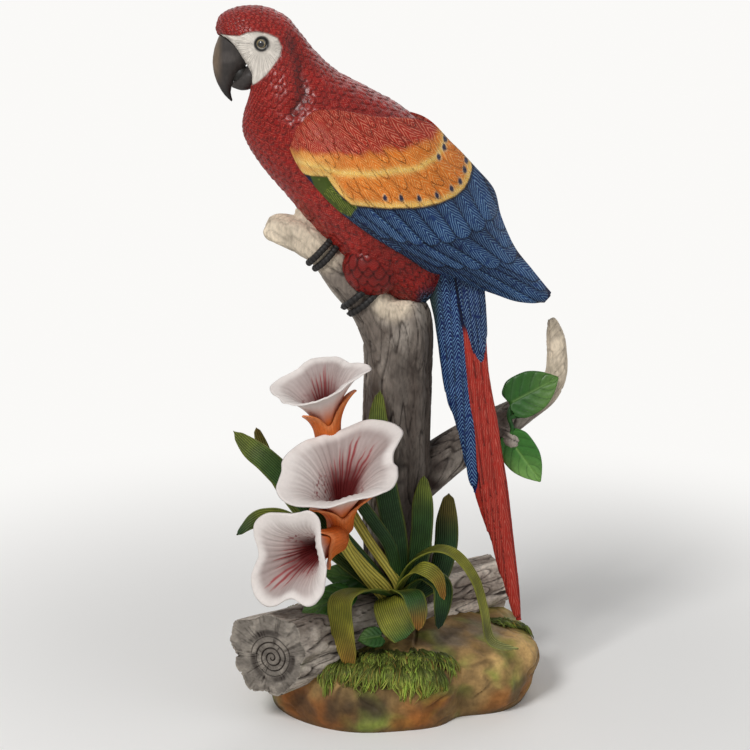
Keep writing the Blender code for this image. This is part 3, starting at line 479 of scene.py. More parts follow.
# Each glaze: the function that makes it, and what that takes after the name
GLAZES = {
    "body": (plumage_glaze, 0.33, 1.15, 0.5, 0.3, 0.15),
    "wing": (plumage_glaze, 0.44, 1.1, 0.72, 0.22),
    "tail": (plumage_glaze, 0.48, 1.2, 0.75, 0.2),
    "beak": (painted_glaze, 0.38, 1.6, 0.05, 0.14, (1, 1, 0.3)),
    "eye": (painted_glaze, 0.08, 0.6, 0.0, 0.04, (1, 1, 1), 1.0),
    "toes": (painted_glaze, 0.42, 0.8, 0.08, 0.3),
    "bark": (painted_glaze, 0.62, 1.5, 0.22, 0.2, (1, 1, 0.35)),
    "log": (painted_glaze, 0.68, 1.5, 0.22, 0.2, (0.7, 0.7, 1)),
    "earth": (painted_glaze, 0.6, 2.4, 0.25, 0.16),
    "grass": (painted_glaze, 0.5, 1.2, 0.08, 0.18),
    "petal": (painted_glaze, 0.5, 2.0, 0.05, 0.03),
    "sepal": (painted_glaze, 0.45, 1.4, 0.08, 0.08),
    "leaf": (ribbed_glaze, 0.46, LEAF_RIB_STEP, 0.28),
    "heart": (painted_glaze, 0.3, 2.2, 0.08, 0.1),
}


def glaze_of(key):
    """The glaze, made at its first use."""
    name = "glaze_" + key
    if name not in bpy.data.materials:
        kind, *values = GLAZES[key]
        kind(name, *values)
    return bpy.data.materials[name]


# Settings


def colour_setting(name, description, *display):
    return FloatVectorProperty(
        name=name, description=description, subtype="COLOR", size=3, min=0, max=1, default=glaze(*display)
    )


def length_setting(name, description, default):
    return FloatProperty(name=name, description=description + ", in millimetres", default=default, min=0)


class PlumageSettings(bpy.types.PropertyGroup):
    scarlet: colour_setting("Scarlet", "Ground colour of the red feathers", 128, 14, 9)
    scarlet_stroke: colour_setting("Scarlet stroke", "Barb strokes on the red feathers", 205, 88, 72)
    crimson: colour_setting("Crimson", "Shade between the red feathers", 52, 8, 6)
    orange: colour_setting("Orange", "Ground colour of the orange coverts", 206, 112, 36)
    orange_stroke: colour_setting("Orange stroke", "Barb strokes on the orange coverts", 240, 172, 98)
    yellow: colour_setting("Yellow", "Tips of the coverts", 226, 180, 92)
    green: colour_setting("Green", "Small feathers below the coverts", 62, 78, 18)
    blue: colour_setting("Blue", "Ground colour of the flight feathers", 10, 29, 78)
    blue_stroke: colour_setting("Blue stroke", "Barb strokes on the flight feathers", 112, 154, 192)
    navy: colour_setting("Navy", "Shade between the flight feathers", 6, 12, 26)
    face: colour_setting("Face", "Bare skin of the face", 222, 214, 203)
    beak: colour_setting("Beak", "Horn of the beak", 58, 54, 52)
    iris: colour_setting("Iris", "Ring round the pupil", 150, 132, 92)
    scale_relief: length_setting("Scale relief", "How far a body feather stands out", 0.95)
    vane_relief: length_setting("Vane relief", "How far a wing feather stands out", 0.9)
    columns: IntProperty(name="Columns", description="Body feathers round the bird", default=46, min=8)


class WoodSettings(bpy.types.PropertyGroup):
    pale: colour_setting("Pale", "Ridges of the bark", 176, 166, 155)
    grey: colour_setting("Grey", "Flat of the bark", 118, 108, 99)
    dark: colour_setting("Dark", "Furrows of the bark", 42, 35, 31)
    cream: colour_setting("Cream", "Bare wood at the tips of the branches", 222, 206, 182)
    relief: length_setting("Relief", "Depth of the bark", 1.1)
    voxel: length_setting("Voxel", "Size of the voxels that join trunk and branches", 0.78)


class GroundSettings(bpy.types.PropertyGroup):
    earth: colour_setting("Earth", "Brown of the rock", 124, 98, 60)
    rust: colour_setting("Rust", "Orange of the rim", 142, 84, 36)
    ochre: colour_setting("Ochre", "Light rock", 182, 148, 96)
    moss: colour_setting("Moss", "Moss green", 122, 136, 58)
    umber: colour_setting("Umber", "Hollows of the rock", 58, 48, 34)
    slate: colour_setting("Slate", "Grey hollows below the leaves", 112, 104, 92)
    grass: colour_setting("Grass", "Tips of the grass", 142, 170, 62)
    relief: length_setting("Relief", "Depth of the rock's knocks and creases", 2.2)
    blades: IntProperty(name="Blades", description="Blades of grass", default=1900, min=0)


class FlowerSettings(bpy.types.PropertyGroup):
    white: colour_setting("White", "Petals", 226, 218, 213)
    # Shade is the grey-pink of the painted shade on the petals
    shade: colour_setting("Shade", "Grey-pink of the petals' faces", 150, 132, 128)
    blush: colour_setting("Blush", "Pink of the petals towards the throat", 190, 142, 136)
    rose: colour_setting("Rose", "Veins", 142, 34, 40)
    throat: colour_setting("Throat", "Dark red of the throat", 84, 22, 22)
    orange: colour_setting("Orange", "Sepals", 206, 104, 44)
    stalk: colour_setting("Stalk", "Light side of the stalks", 194, 180, 83)
    stalk_shade: colour_setting("Stalk shade", "Furrows of the stalks", 58, 66, 22)
    leaf: colour_setting("Leaf", "Strap leaves", 44, 72, 32)
    olive: colour_setting("Olive", "Strap leaves towards their tips", 122, 122, 44)
    brown: colour_setting("Brown", "Withered tips", 120, 82, 34)
    sage: colour_setting("Sage", "Grey-green of the arching leaf", 140, 142, 88)
    deep: colour_setting("Deep green", "Strap leaves towards their roots", 18, 40, 26)
    heart: colour_setting("Heart leaf", "Heart-shaped leaves", 54, 104, 42)
    heart_light: colour_setting("Heart leaf light", "Light part of the heart-shaped leaves", 120, 160, 84)


class StageSettings(bpy.types.PropertyGroup):
    floor: colour_setting("Floor", "Floor and backdrop", 246, 245, 243)
    key_power: FloatProperty(name="Key", description="Power of the key lamp in watts", default=19, min=0)
    fill_power: FloatProperty(name="Fill", description="Power of the fill lamp in watts", default=3.5, min=0)
    sky: FloatProperty(name="Sky", description="Strength of the light all round", default=0.31, min=0)


def settings(group):
    return getattr(bpy.context.scene, "macaw_" + group)


# Macaw

# Outline of the back, then of the throat and belly, as x and height above the trunk's top in mm,
# and the half width as a share of the body's
BODY_ROWS = (
    (-105, 157, -103.5, 152.5, 0.09), (-102.5, 163.5, -95.5, 147.5, 0.33),
    (-96, 167.5, -88.5, 137, 0.45), (-87, 169.3, -84.5, 128, 0.52), (-76, 168.5, -86, 118, 0.56),
    (-64.5, 163, -89.5, 108, 0.59), (-56, 153, -90.3, 98.5, 0.64), (-47, 142, -86.8, 88.6, 0.73),
    (-35, 131.5, -78.3, 75.8, 0.84), (-16.5, 121.6, -66.3, 61.7, 0.95), (5, 108.5, -49.6, 41.6, 1),
    (21, 86.3, -31.7, 22.6, 0.95), (30, 57, -14.8, 6, 0.78), (30, 30, 0.4, -2.5, 0.56),
    (24.5, 8, 14, -4.3, 0.24),
)
BODY_HALF_WIDTH = 36.0
# Outer curve and inner curve of the beak, as x and height above the trunk's top, and half width
UPPER_BEAK_ROWS = (
    (-102.5, 153, -84, 141, 8.5), (-105.6, 145.5, -87, 136.5, 8.2), (-107, 137.5, -90.5, 132.5, 6.8),
    (-106.2, 130.5, -93.6, 129, 5.2), (-104, 124, -95.6, 124.8, 3.7), (-100.6, 118.4, -96.8, 120, 2),
    (-96.6, 114.4, -95.9, 115.2, 0.6),
)
LOWER_BEAK_ROWS = (
    (-86, 136, -80.5, 127.5, 7), (-90, 132.5, -84.2, 122.5, 6.6), (-93.6, 128, -90, 120.8, 4.8),
    (-96.6, 124, -95.6, 122.4, 1.6),
)
# Middle of the dark ball in the corner of the mouth, which stands for the shade between the halves of the
# beak, with its height from the ground up, and its radii
GAPE_AT = (-90.6, 0, 375.4)
GAPE_RADII = (5.2, 4.6, 6.2)
THIGH_AT = ((-15, -15, 21), (-37, 9, 30))
THIGH_RADII = (18, 12, 17)
# Feathers round a thigh
THIGH_COLUMNS = 16
EYE_AT = (-78, 17.2, 150)
EYE_RADIUS = 3.2
# The groove between the neck and the shoulder, as x and height from the ground up
NECK_GROOVE = ((-60.5, 396.3), (-57.1, 385.9), (-56.5, 377.4), (-54.4, 367.5), (-60.8, 359.0))
# Bare skin of the face in the x-z plane, with heights from the ground up
FACE_OUTLINE = (
    (-102.6, 399.2), (-90.7, 400.3), (-86.2, 402.3), (-80.8, 402.8), (-74.4, 401.7), (-69.0, 399.2),
    (-66.4, 394.2), (-67.5, 389.3), (-71.4, 383.9), (-75.8, 378.5), (-81.2, 374.1), (-88.0, 370.0),
    (-98.0, 380.0),
)
# Points of the body's mesh round the bird, and its rings on the head and neck and on the back
BODY_SEGMENTS = 290
HEAD_RINGS = 165
BACK_RINGS = 150
# How steeply the barbs run, along a feather and away from its shaft
BARB_ALONG = 0.55
BARB_ACROSS = 0.83


def outline_rings(rows, segments, width=1.0):
    """Oval rings whose long axis joins the two outline points of each row."""
    back = np.stack([rows[:, 0], 0 * rows[:, 0], rows[:, 1] + TRUNK_TOP], -1)
    front = np.stack([rows[:, 2], 0 * rows[:, 0], rows[:, 3] + TRUNK_TOP], -1)
    side = np.stack([0 * rows[:, 4], rows[:, 4] * width, 0 * rows[:, 4]], -1)
    turn = turns(segments)[None, :, None]
    centre, reach = (back + front) / 2, (back - front) / 2
    return centre[:, None] + reach[:, None] * np.cos(turn) + side[:, None] * np.sin(turn)


def scarlet_paint(points, coat, shade):
    """Ground and stroke colours of the red feathers, with painted highlight and painted shade."""
    look = settings("plumage")
    # The raised ends of the feathers are painted lighter, by a random amount for each, as highlight
    ground = mix(look.scarlet, np.array(look.scarlet) * 1.5, 0.5 * coat["tone"] * coat["lift"])
    # Painted shade between the feathers, and wherever more shade is given
    dark = np.clip(coat["crevice_shade"] * 0.85 + shade, 0, 1)
    ground = mix(ground, look.crimson, dark)
    stroke = mix(look.scarlet_stroke, look.crimson, np.clip(dark * 1.1, 0, 1))
    mottle = noise(points, 16, 3)
    return mix(ground, ground * 1.35, ease(0, 0.8, mottle)), stroke


def make_body():
    look = settings("plumage")
    # Rows lie closer together on the head, where the feathers are small
    head, back = np.linspace(0, 7, HEAD_RINGS, endpoint=False), np.linspace(7, 14, BACK_RINGS)
    rows = spline(BODY_ROWS, np.concatenate([head, back]))
    rings = outline_rings(rows, BODY_SEGMENTS, BODY_HALF_WIDTH)
    normal = outward(rings)
    centre = rings.mean(1)
    reach = np.concatenate([[0], np.cumsum(np.linalg.norm(np.diff(centre, axis=0), axis=1))])
    pitch = np.interp(reach, (0, 40, 90, 140, 260), (2.3, 2.7, 4.4, 5.4, 6.0))
    count = np.cumsum(np.gradient(reach) / pitch)
    column = np.arange(BODY_SEGMENTS) / BODY_SEGMENTS * look.columns
    row_grid, column_grid = np.meshgrid(count, column, indexing="ij")
    sway = 0.35 * noise(rings, 15, 1)
    coat = scale_coat(row_grid + sway, column_grid + sway, look.columns, 1.9)
    x, y, z = np.moveaxis(rings, -1, 0)
    face_gap = inside_outline(x, z, FACE_OUTLINE)
    skin = ease(-0.5, 0.7, face_gap)
    eye_x, eye_z = x - EYE_AT[0], z - EYE_AT[2] - TRUNK_TOP
    eye_gap, eye_turn = np.hypot(eye_x, eye_z), np.arctan2(eye_z, eye_x)
    lid = np.exp(-(((eye_gap - 4.2) / 0.75) ** 2))
    size = np.interp(reach, (0, 45, 100), (0.6, 0.8, 1.15))[:, None]
    feathers = size * look.scale_relief * (coat["lift"] - 0.55) + 0.25 * noise(rings, 3.0, 5) * size
    creases = 0.07 * np.sin(eye_turn * 30 + 1.2 * noise(rings, 7, 8))
    bare = -0.55 + 0.75 * lid + creases * ease(5, 8, eye_gap)
    relief = feathers * (1 - skin) + bare * skin
    relief -= 0.5 * np.exp(-((face_gap / 0.8) ** 2)) * (z < 402)
    # A fold runs down the neck in front of the shoulder
    line_x, line_z = polyline(NECK_GROOVE, np.linspace(0, 1, 40)).T
    fold_gap = np.sqrt(((x[..., None] - line_x) ** 2 + (z[..., None] - line_z) ** 2).min(-1))
    fold = np.exp(-((fold_gap / 4.6) ** 2)) * ease(5, 11, np.abs(y))
    relief = relief * (1 - 0.4 * fold) - 1.9 * fold
    # The fold is painted darker, as shade where the neck overlaps the shoulder
    ground, stroke = scarlet_paint(rings, coat, 0.62 * fold**2)
    # The lower belly is painted darker, with fainter strokes, as shade on the bird's underside
    belly = ease(300, 262, z) * ease(-45, -10, x)
    ground = ground * (1 - 0.3 * belly[..., None])
    stroke = mix(stroke, ground, 0.55 * belly)
    ring = np.exp(-(((eye_gap - 3.5) / 0.95) ** 4))
    lines = ease(-0.02, -0.07, creases) * 0.3 * ease(5.5, 9, eye_gap)
    bare_colour = mix(look.face, np.array(look.face) * 0.42, lines)
    bare_colour = mix(bare_colour, (0.012, 0.011, 0.010), ring)
    ground = mix(ground, bare_colour, skin)
    stroke = mix(stroke, bare_colour, skin)
    under_tail = ease(258, 246, z) * ease(8, 14, x)
    ground = mix(ground, look.navy, under_tail)
    stroke = mix(stroke, look.blue_stroke, under_tail)
    thick = np.linalg.norm(rings[:, 0] - rings[:, BODY_SEGMENTS // 2], axis=1)
    girth = (thick * math.pi / look.columns)[:, None]
    barb = BARB_ALONG * coat["along"] * pitch[:, None]
    barb = barb - BARB_ACROSS * np.abs(coat["across"]) * girth * SCALE_HALF_WIDTH
    # Fine lines run out from the eye over the bare skin
    barb = np.where(skin > 0.5, 12 * eye_turn, barb)
    rings = rings + normal * relief[..., None]
    body = grid_piece("body_plumage", rings, ground=ground, stroke=stroke, barb=barb)
    finish(body, "body", "red_plumage", "macaw_body")


def make_thighs():
    look = settings("plumage")
    for name, at in zip(("thigh_near", "thigh_far"), THIGH_AT):
        rings = unit_ball(84, 120, 0.02) * THIGH_RADII + np.array(at) + (0, 0, TRUNK_TOP)
        rows_at, columns_at = np.linspace(0, 9, 84), np.arange(120) / 120 * THIGH_COLUMNS
        row, column = np.meshgrid(rows_at, columns_at, indexing="ij")
        coat = scale_coat(row, column, THIGH_COLUMNS, 2.2)
        relief = look.scale_relief * (coat["lift"] - 0.6)
        # The thighs are painted darker than the body, with fainter strokes, as shade under the belly
        ground, stroke = scarlet_paint(rings, coat, 0.1)
        barb = coat["along"] * 5 + 2 * np.abs(coat["across"])
        rings = rings + outward(rings) * relief[..., None]
        piece = grid_piece(name, rings, ground=ground * 0.75, stroke=mix(stroke, ground, 0.55), barb=barb)
        finish(piece, "body", "red_plumage")


def make_beak():
    look = settings("plumage")
    for name, rows, seed in (("beak_upper", UPPER_BEAK_ROWS, 2), ("beak_lower", LOWER_BEAK_ROWS, 4)):
        rings = outline_rings(spline(rows, 90), 72)
        x, y, z = np.moveaxis(rings, -1, 0)
        growth = noise(np.stack([z * 0.9 + x * 0.4, y * 0.2, 0 * z], -1), 1.7, seed)
        relief = 0.10 * growth + 0.12 * noise(rings, 6, seed)
        horn = mix(look.beak, np.array(look.beak) * 2.3, ease(0.0, 0.9, noise(rings, 7, seed)) * 0.6)
        upper = rows is UPPER_BEAK_ROWS
        pale = ease(-100, -105.5, x) * ease(366, 384, z) * upper
        horn = mix(horn, glaze(128, 108, 88), 0.65 * pale)
        horn = mix(horn, (0.008, 0.008, 0.008), 0.7 * ease(374, 362, z) * upper)
        piece = grid_piece(name, rings + outward(rings) * relief[..., None], ground=horn)
        finish(piece, "beak", "red_plumage")


def make_gape_shade():
    """A dark ball in the corner of the mouth: painted shade in the gap between the two halves of the beak."""
    rings = unit_ball(30, 40, 0.02) * GAPE_RADII + GAPE_AT
    gape = grid_piece("beak_gape_shade", rings, ground=0 * rings + glaze(38, 36, 34))
    finish(gape, "beak", "red_plumage")


def make_eyes():
    look = settings("plumage")
    for name, side in (("eye_near", -1), ("eye_far", 1)):
        ball = unit_ball(48, 64, 0.01)[..., [0, 2, 1]] * (1, side, 1)
        gap = np.hypot(ball[..., 0] + 0.12, ball[..., 2]) * EYE_RADIUS
        spokes = 0.5 + 0.5 * np.sin(np.arctan2(ball[..., 2], ball[..., 0]) * 23)
        iris = mix(look.iris, np.array(look.iris) * 0.45, spokes)
        colour = mix((0.004, 0.004, 0.004), iris, ease(1.75, 1.95, gap))
        colour = mix(colour, (0.010, 0.009, 0.008), ease(2.4, 2.6, gap))
        at = np.array((EYE_AT[0], side * EYE_AT[1], EYE_AT[2] + TRUNK_TOP))
        finish(grid_piece(name, ball * EYE_RADIUS + at, ground=colour), "eye", "red_plumage")


# Upper edge, then lower edge, as x and height above the trunk's top,
# then how far out the upper edge, the middle and the lower edge stand, all in mm
WING_ROWS = (
    (-58, 105, -62.5, 92, 28, 30, 28), (-49, 113, -58, 83, 28.5, 35, 31),
    (-36, 114, -51.6, 75, 28, 39, 33), (-12, 110, -36, 58.5, 26, 44, 35),
    (13.7, 106, -16.5, 43.5, 15, 43, 36), (30, 92, 2.5, 31, 8.5, 39, 33),
    (44, 77, 17.2, 20.5, 5.5, 32, 28), (54.6, 64, 29.3, 16.5, 4, 26, 22),
    (59, 48, 43.7, 9, 3.2, 21, 17), (67, 30, 56, 3.5, 2.6, 16.5, 12.5),
    (77, 17, 67, -1, 2.4, 12.5, 9.5), (85, 7, 77.5, -2.8, 2.2, 9.5, 7.5),
    (88.8, 2.5, 84.5, -2.4, 2.2, 6.5, 5.5),
)
# Rings of a wing's mesh, and its points over the outer and over the inner face
WING_RINGS = 390
WING_OUTER = 118
WING_INNER = 18
WING_THICKNESS = 7.0
FAR_WING_DROP = 2.5
WING_MIDLINE_GAP = 0.25
# Rows of blue feathers from the lowest layer up: line of their roots, line of their tips, as x and
# height above the trunk's top, how many there are, their width and their share of the relief
BLUE_ROWS = (
    (
        ((-4.5, 28), (2.3, 38), (7.9, 43.8), (25.5, 48)),
        (
            (40.4, 8.1), (56, 1.6), (68.2, -3.1), (78, -3.7),
            (85.4, -2), (88.2, 2.8), (86.4, 8.1), (79.4, 14.6),
        ),
        9, 8.0, 1.1,
    ),
    (
        ((-20, 52), (0, 48), (22, 48), (40, 54), (44, 66), (46, 78)),
        ((22.9, 26.8), (40.1, 23.3), (54.4, 22.2), (68.6, 23.9), (64, 36.2), (61, 46)),
        7, 9.5, 1.3,
    ),
    (((-37, 60), (-28, 55), (-20, 47)), ((-18, 46), (-6, 37), (3, 33)), 5, 5.5, 0.8),
    (
        ((-46, 72), (-30, 70), (-12, 70), (6, 74), (22, 82), (36, 96)),
        ((-8, 45), (8, 41), (24, 39), (38, 41), (50, 45), (57, 52)),
        8, 10.0, 1.3,
    ),
)
# Outlines of the painted parts, as x and height above the trunk's top
WARM_PART = (
    (-27.2, 62.5), (-17, 61.9), (-8.6, 61.3), (8.4, 61.3), (16.9, 61.9), (24.2, 63.1), (31, 65.1),
    (36.6, 68.2), (39.9, 72.8), (41.6, 77.9), (40.9, 83.7), (46, 95), (25, 125), (-75, 125), (-75, 80),
    (-50.8, 77.9), (-41.2, 78.5), (-36.8, 71.7), (-31.7, 65.9),
)
STRIPE_PART = (
    (-53.6, 84), (-39.5, 81.2), (-22.7, 80), (-5.8, 80.6), (11.1, 82.3), (21.8, 86.9), (25.7, 92.6),
    (26.8, 96.6), (28, 125), (-80, 125), (-80, 86),
)
RED_PART = (
    (-62.5, 92.6), (-45.1, 91.4), (-22.6, 91.4), (-0.1, 93.1), (17.8, 96.6), (24, 104), (20, 125), (-80, 125),
)
GREEN_PART = (
    (-50.8, 77.9), (-41.2, 78.5), (-36.8, 71.7), (-31.7, 65.9), (-24, 61.9), (-28.3, 54.4), (-36.2, 58),
    (-46, 66),
)
# Each painted part with how much its edge wanders
WING_PARTS = ((WARM_PART, 0.6), (STRIPE_PART, 1.2), (RED_PART, 2.2), (GREEN_PART, 1.0))
# The long coverts fan out from a point above the neck
FAN_POINT = (-159, 250)
COVERT_ROW = 17.0
COVERT_WIDTH = 5.8
COVERT_RADIUS = 230.0
COVERT_BARB_ALONG = 0.3
COVERT_BARB_ACROSS = 0.95
FLIGHT_BARB_ALONG = 0.36
FLIGHT_BARB_ACROSS = 0.93
# Centres of the dark spots near the tips of the yellow coverts
WING_SPOTS = (
    (-8.6, 67.6), (0.5, 67.1), (10.6, 66.5), (20.8, 67.1), (29.2, 69.4), (34.3, 72.2),
    (37.1, 77.4), (38.1, 81.9), (37.5, 88.2), (25.8, 94.9), (25.2, 90.9), (21.9, 86.9),
)


def covert_coat(x, z):
    """Long feathers over the shoulder: their fields, and the place of their barbs in mm."""
    away_x, away_z = x - FAN_POINT[0], z - FAN_POINT[1]
    sway = 0.22 * flat_noise(x, z, 18, 4)
    row = np.hypot(away_x, away_z) / COVERT_ROW + sway
    column = np.arctan2(away_z, away_x) * COVERT_RADIUS / COVERT_WIDTH + 1.2 * sway
    coat = scale_coat(row, column, 1000, 2.1)
    across = COVERT_BARB_ACROSS * COVERT_WIDTH * SCALE_HALF_WIDTH * np.abs(coat["across"])
    return coat, COVERT_BARB_ALONG * COVERT_ROW * coat["along"] - across


def wing_zones(x, z):
    """Distance in mm inside each painted part, with edges that wander a little."""
    wander = 0.35 * flat_noise(x, z, 4, 2) + 0.5 * flat_noise(x, z, 9, 3)
    return [inside_outline(x, z, part) + wander * scale for part, scale in WING_PARTS]


def wing_paint(x, z, zones, crevice_shade, tone, lift):
    """Ground and stroke colours over the wing, with painted highlight and painted shade on the feathers."""
    look = settings("plumage")
    warm, stripe, red, green = zones
    streak = 1.3 * (tone - 0.5)
    tip = ease(0.35, 1.1, lift)
    band = np.exp(-(((stripe - 1.0 + 0.6 * streak) / 2.1) ** 2))
    bright = np.maximum(ease(5.5, 1.0, warm + streak), band)

    def layers(blue, sheen, lime, orange, yellow, scarlet):
        # The blue turns to a lighter sheen on the raised ends of the feathers, as painted highlight, and
        # darker towards their covered roots, as painted shade
        colour = mix(mix(blue, sheen, 0.45 * tip), np.array(blue) * 0.6, 0.6 * tone)
        colour = mix(colour * (0.5 + 0.5 * tip)[..., None], lime, ease(-0.3, 0.3, green))
        above = mix(orange, yellow, bright)
        above = mix(above, yellow, 0.45 * ease(-30, -52, x) * ease(96, 88, z))
        above = mix(above, scarlet, ease(-2.6, 2.6, red + 1.8 * streak))
        return mix(colour, above, ease(-0.25, 0.25, warm))

    ground = layers(look.blue, glaze(40, 80, 132), look.green, look.orange, look.yellow, glaze(150, 40, 26))
    stroke = layers(
        look.blue_stroke, glaze(140, 180, 208), glaze(142, 152, 62), look.orange_stroke,
        glaze(244, 214, 146), glaze(222, 132, 104),
    )
    # The colour of the painted shade between the feathers in each part
    dark = mix(look.navy, glaze(34, 40, 10), ease(-0.3, 0.3, green))
    dark = mix(dark, glaze(150, 82, 30), ease(-0.25, 0.25, warm))
    dark = mix(dark, glaze(88, 20, 12), ease(-2, 3, red))
    broken = 0.55 + 0.45 * flat_noise(x, z, 7, 31)
    over = ease(0, 1, warm)
    # Painted shade under the edges of the feathers, broken up over the coverts
    deep = crevice_shade * (0.95 * (1 - over) + 0.5 * broken * over)
    border = np.exp(-(((warm + 0.75) / 0.6) ** 2)) * (green < 0)
    ground, stroke = mix(ground, dark, deep), mix(stroke, dark, deep)
    ground, stroke = mix(ground, look.navy, border), mix(stroke, look.navy, border)
    for centre_x, centre_z in WING_SPOTS:
        across = (x - centre_x) + 0.25 * (z - centre_z)
        gap = np.hypot(across / (1.15 - 0.12 * (z - centre_z)), (z - centre_z) / 1.9)
        rim, spot = ease(1.5, 1.1, gap), ease(1.05, 0.85, gap)
        pale = glaze(214, 190, 150)
        ground = mix(mix(ground, pale, 0.5 * rim), glaze(36, 34, 56), spot)
        stroke = mix(mix(stroke, pale, 0.5 * rim), glaze(64, 62, 84), spot)
    return ground, stroke


def make_wings():
    look = settings("plumage")
    rows_at = np.linspace(0, len(WING_ROWS) - 1, WING_RINGS)
    rows = spline(WING_ROWS, rows_at)[:, None]
    share, outer = there_and_back(0, 1, WING_OUTER, WING_INNER)
    share, outer = share[None], outer[None]
    reach = rows_at[:, None] / rows_at[-1]
    x = rows[..., 0] + (rows[..., 2] - rows[..., 0]) * share
    height = rows[..., 1] + (rows[..., 3] - rows[..., 1]) * share
    out = rows[..., 4] * (1 - share) * (1 - 2 * share) + 4 * rows[..., 5] * share * (1 - share)
    out = out + rows[..., 6] * share * (2 * share - 1)
    rim = 2 * np.minimum(share, 1 - share)
    level = 2.3 - 1.2 * ease(0.42, 0.56, reach) - 1.0 * ease(0.62, 0.74, reach)
    blue = lay_vanes(x, height, [vane for row in BLUE_ROWS for vane in vane_row(*row)])
    coverts, covert_barb = covert_coat(x, height)
    zones = wing_zones(x, height)
    over = zones[0] > 0
    # The coverts lie over the blue feathers and end in a step
    coat = {key: np.where(over, coverts[key], blue[key]) for key in ("lift", "crevice_shade", "tone")}
    step = 0.55 * ease(-0.2, 0.5, zones[0]) + 0.3 * ease(-0.4, 0.6, zones[1])
    relief = look.vane_relief * (np.where(over, 0.75 * coat["lift"], coat["lift"]) - 0.4) + step
    relief = relief + 0.12 * noise(np.stack([x, out, height], -1), 2.6, 9)
    front = (level + relief) * np.minimum(1, 2.5 * rim + 0.12)
    back = -WING_THICKNESS * np.minimum(1, 2 * rim + 0.35)
    lift = np.where(outer, front, back)
    ground, stroke = wing_paint(x, height, zones, coat["crevice_shade"], coat["tone"], coat["lift"])
    ground = np.where(outer[..., None], ground, np.array(look.navy))
    blue_barb = FLIGHT_BARB_ALONG * blue["along"] - FLIGHT_BARB_ACROSS * np.abs(blue["across"])
    barb = np.where(over, covert_barb, blue_barb)
    for name, side, node in (("wing_near", -1, "macaw_left_wing"), ("wing_far", 1, "macaw_right_wing")):
        drop = FAR_WING_DROP if side > 0 else 0.0
        y = side * np.maximum(out + lift, WING_MIDLINE_GAP)
        rings = np.stack([x + 0 * y, y, height + TRUNK_TOP - drop + 0 * y], -1)
        wing = grid_piece(name, rings, ground=ground, stroke=stroke, barb=barb)
        finish(wing, "wing", "blue_plumage", node)


# Left edge, right edge, height above the trunk's top in mm, half depth as a share of the tail's
TAIL_RED_ROWS = (
    (24, 44, 20, 0.8), (28, 50, -14, 0.78), (33, 53, -46, 0.66), (38, 58.5, -76, 0.55),
    (41, 62, -96, 0.52), (44, 65.5, -117, 0.48), (51.6, 68.4, -141, 0.43), (54.5, 69, -146, 0.41),
    (60.5, 71.8, -169, 0.34), (63.2, 72.6, -175, 0.31), (66.5, 73.8, -188, 0.27),
    (71, 74.3, -200, 0.14),
)
TAIL_BLUE_ROWS = (
    (12, 34, 18, 1), (19, 38, -6, 0.9), (22, 42, -22, 0.84), (27.5, 43, -58, 0.72),
    (33, 45.5, -74, 0.66), (37.3, 47.5, -91, 0.6), (41.5, 48.5, -110, 0.5), (44.5, 47.5, -119, 0.26),
)
TAIL_COVERT_ROWS = (
    (30, 49, 16, 1.06), (36, 51, -14, 0.96), (42, 50.5, -32, 0.76), (47, 49.8, -41, 0.36),
)
TAIL_BACKSET = 4.0
TAIL_HALF_DEPTH = 9.0
# Long feathers of each part of the tail: root line, tip line, count, width
TAIL_VANES = {
    "tail_red": (((28, 20), (46, 20)), ((56, -150), (63, -176), (70, -196), (73.5, -205)), 4, 6.2),
    "tail_blue": (((12, 20), (40, 20)), ((27, -60), (33, -78), (38, -100), (46, -121)), 5, 6.0),
    "tail_coverts": (((28, 20), (50, 20)), ((34, -16), (41, -30), (48, -42), (52, -20)), 6, 5.6),
}


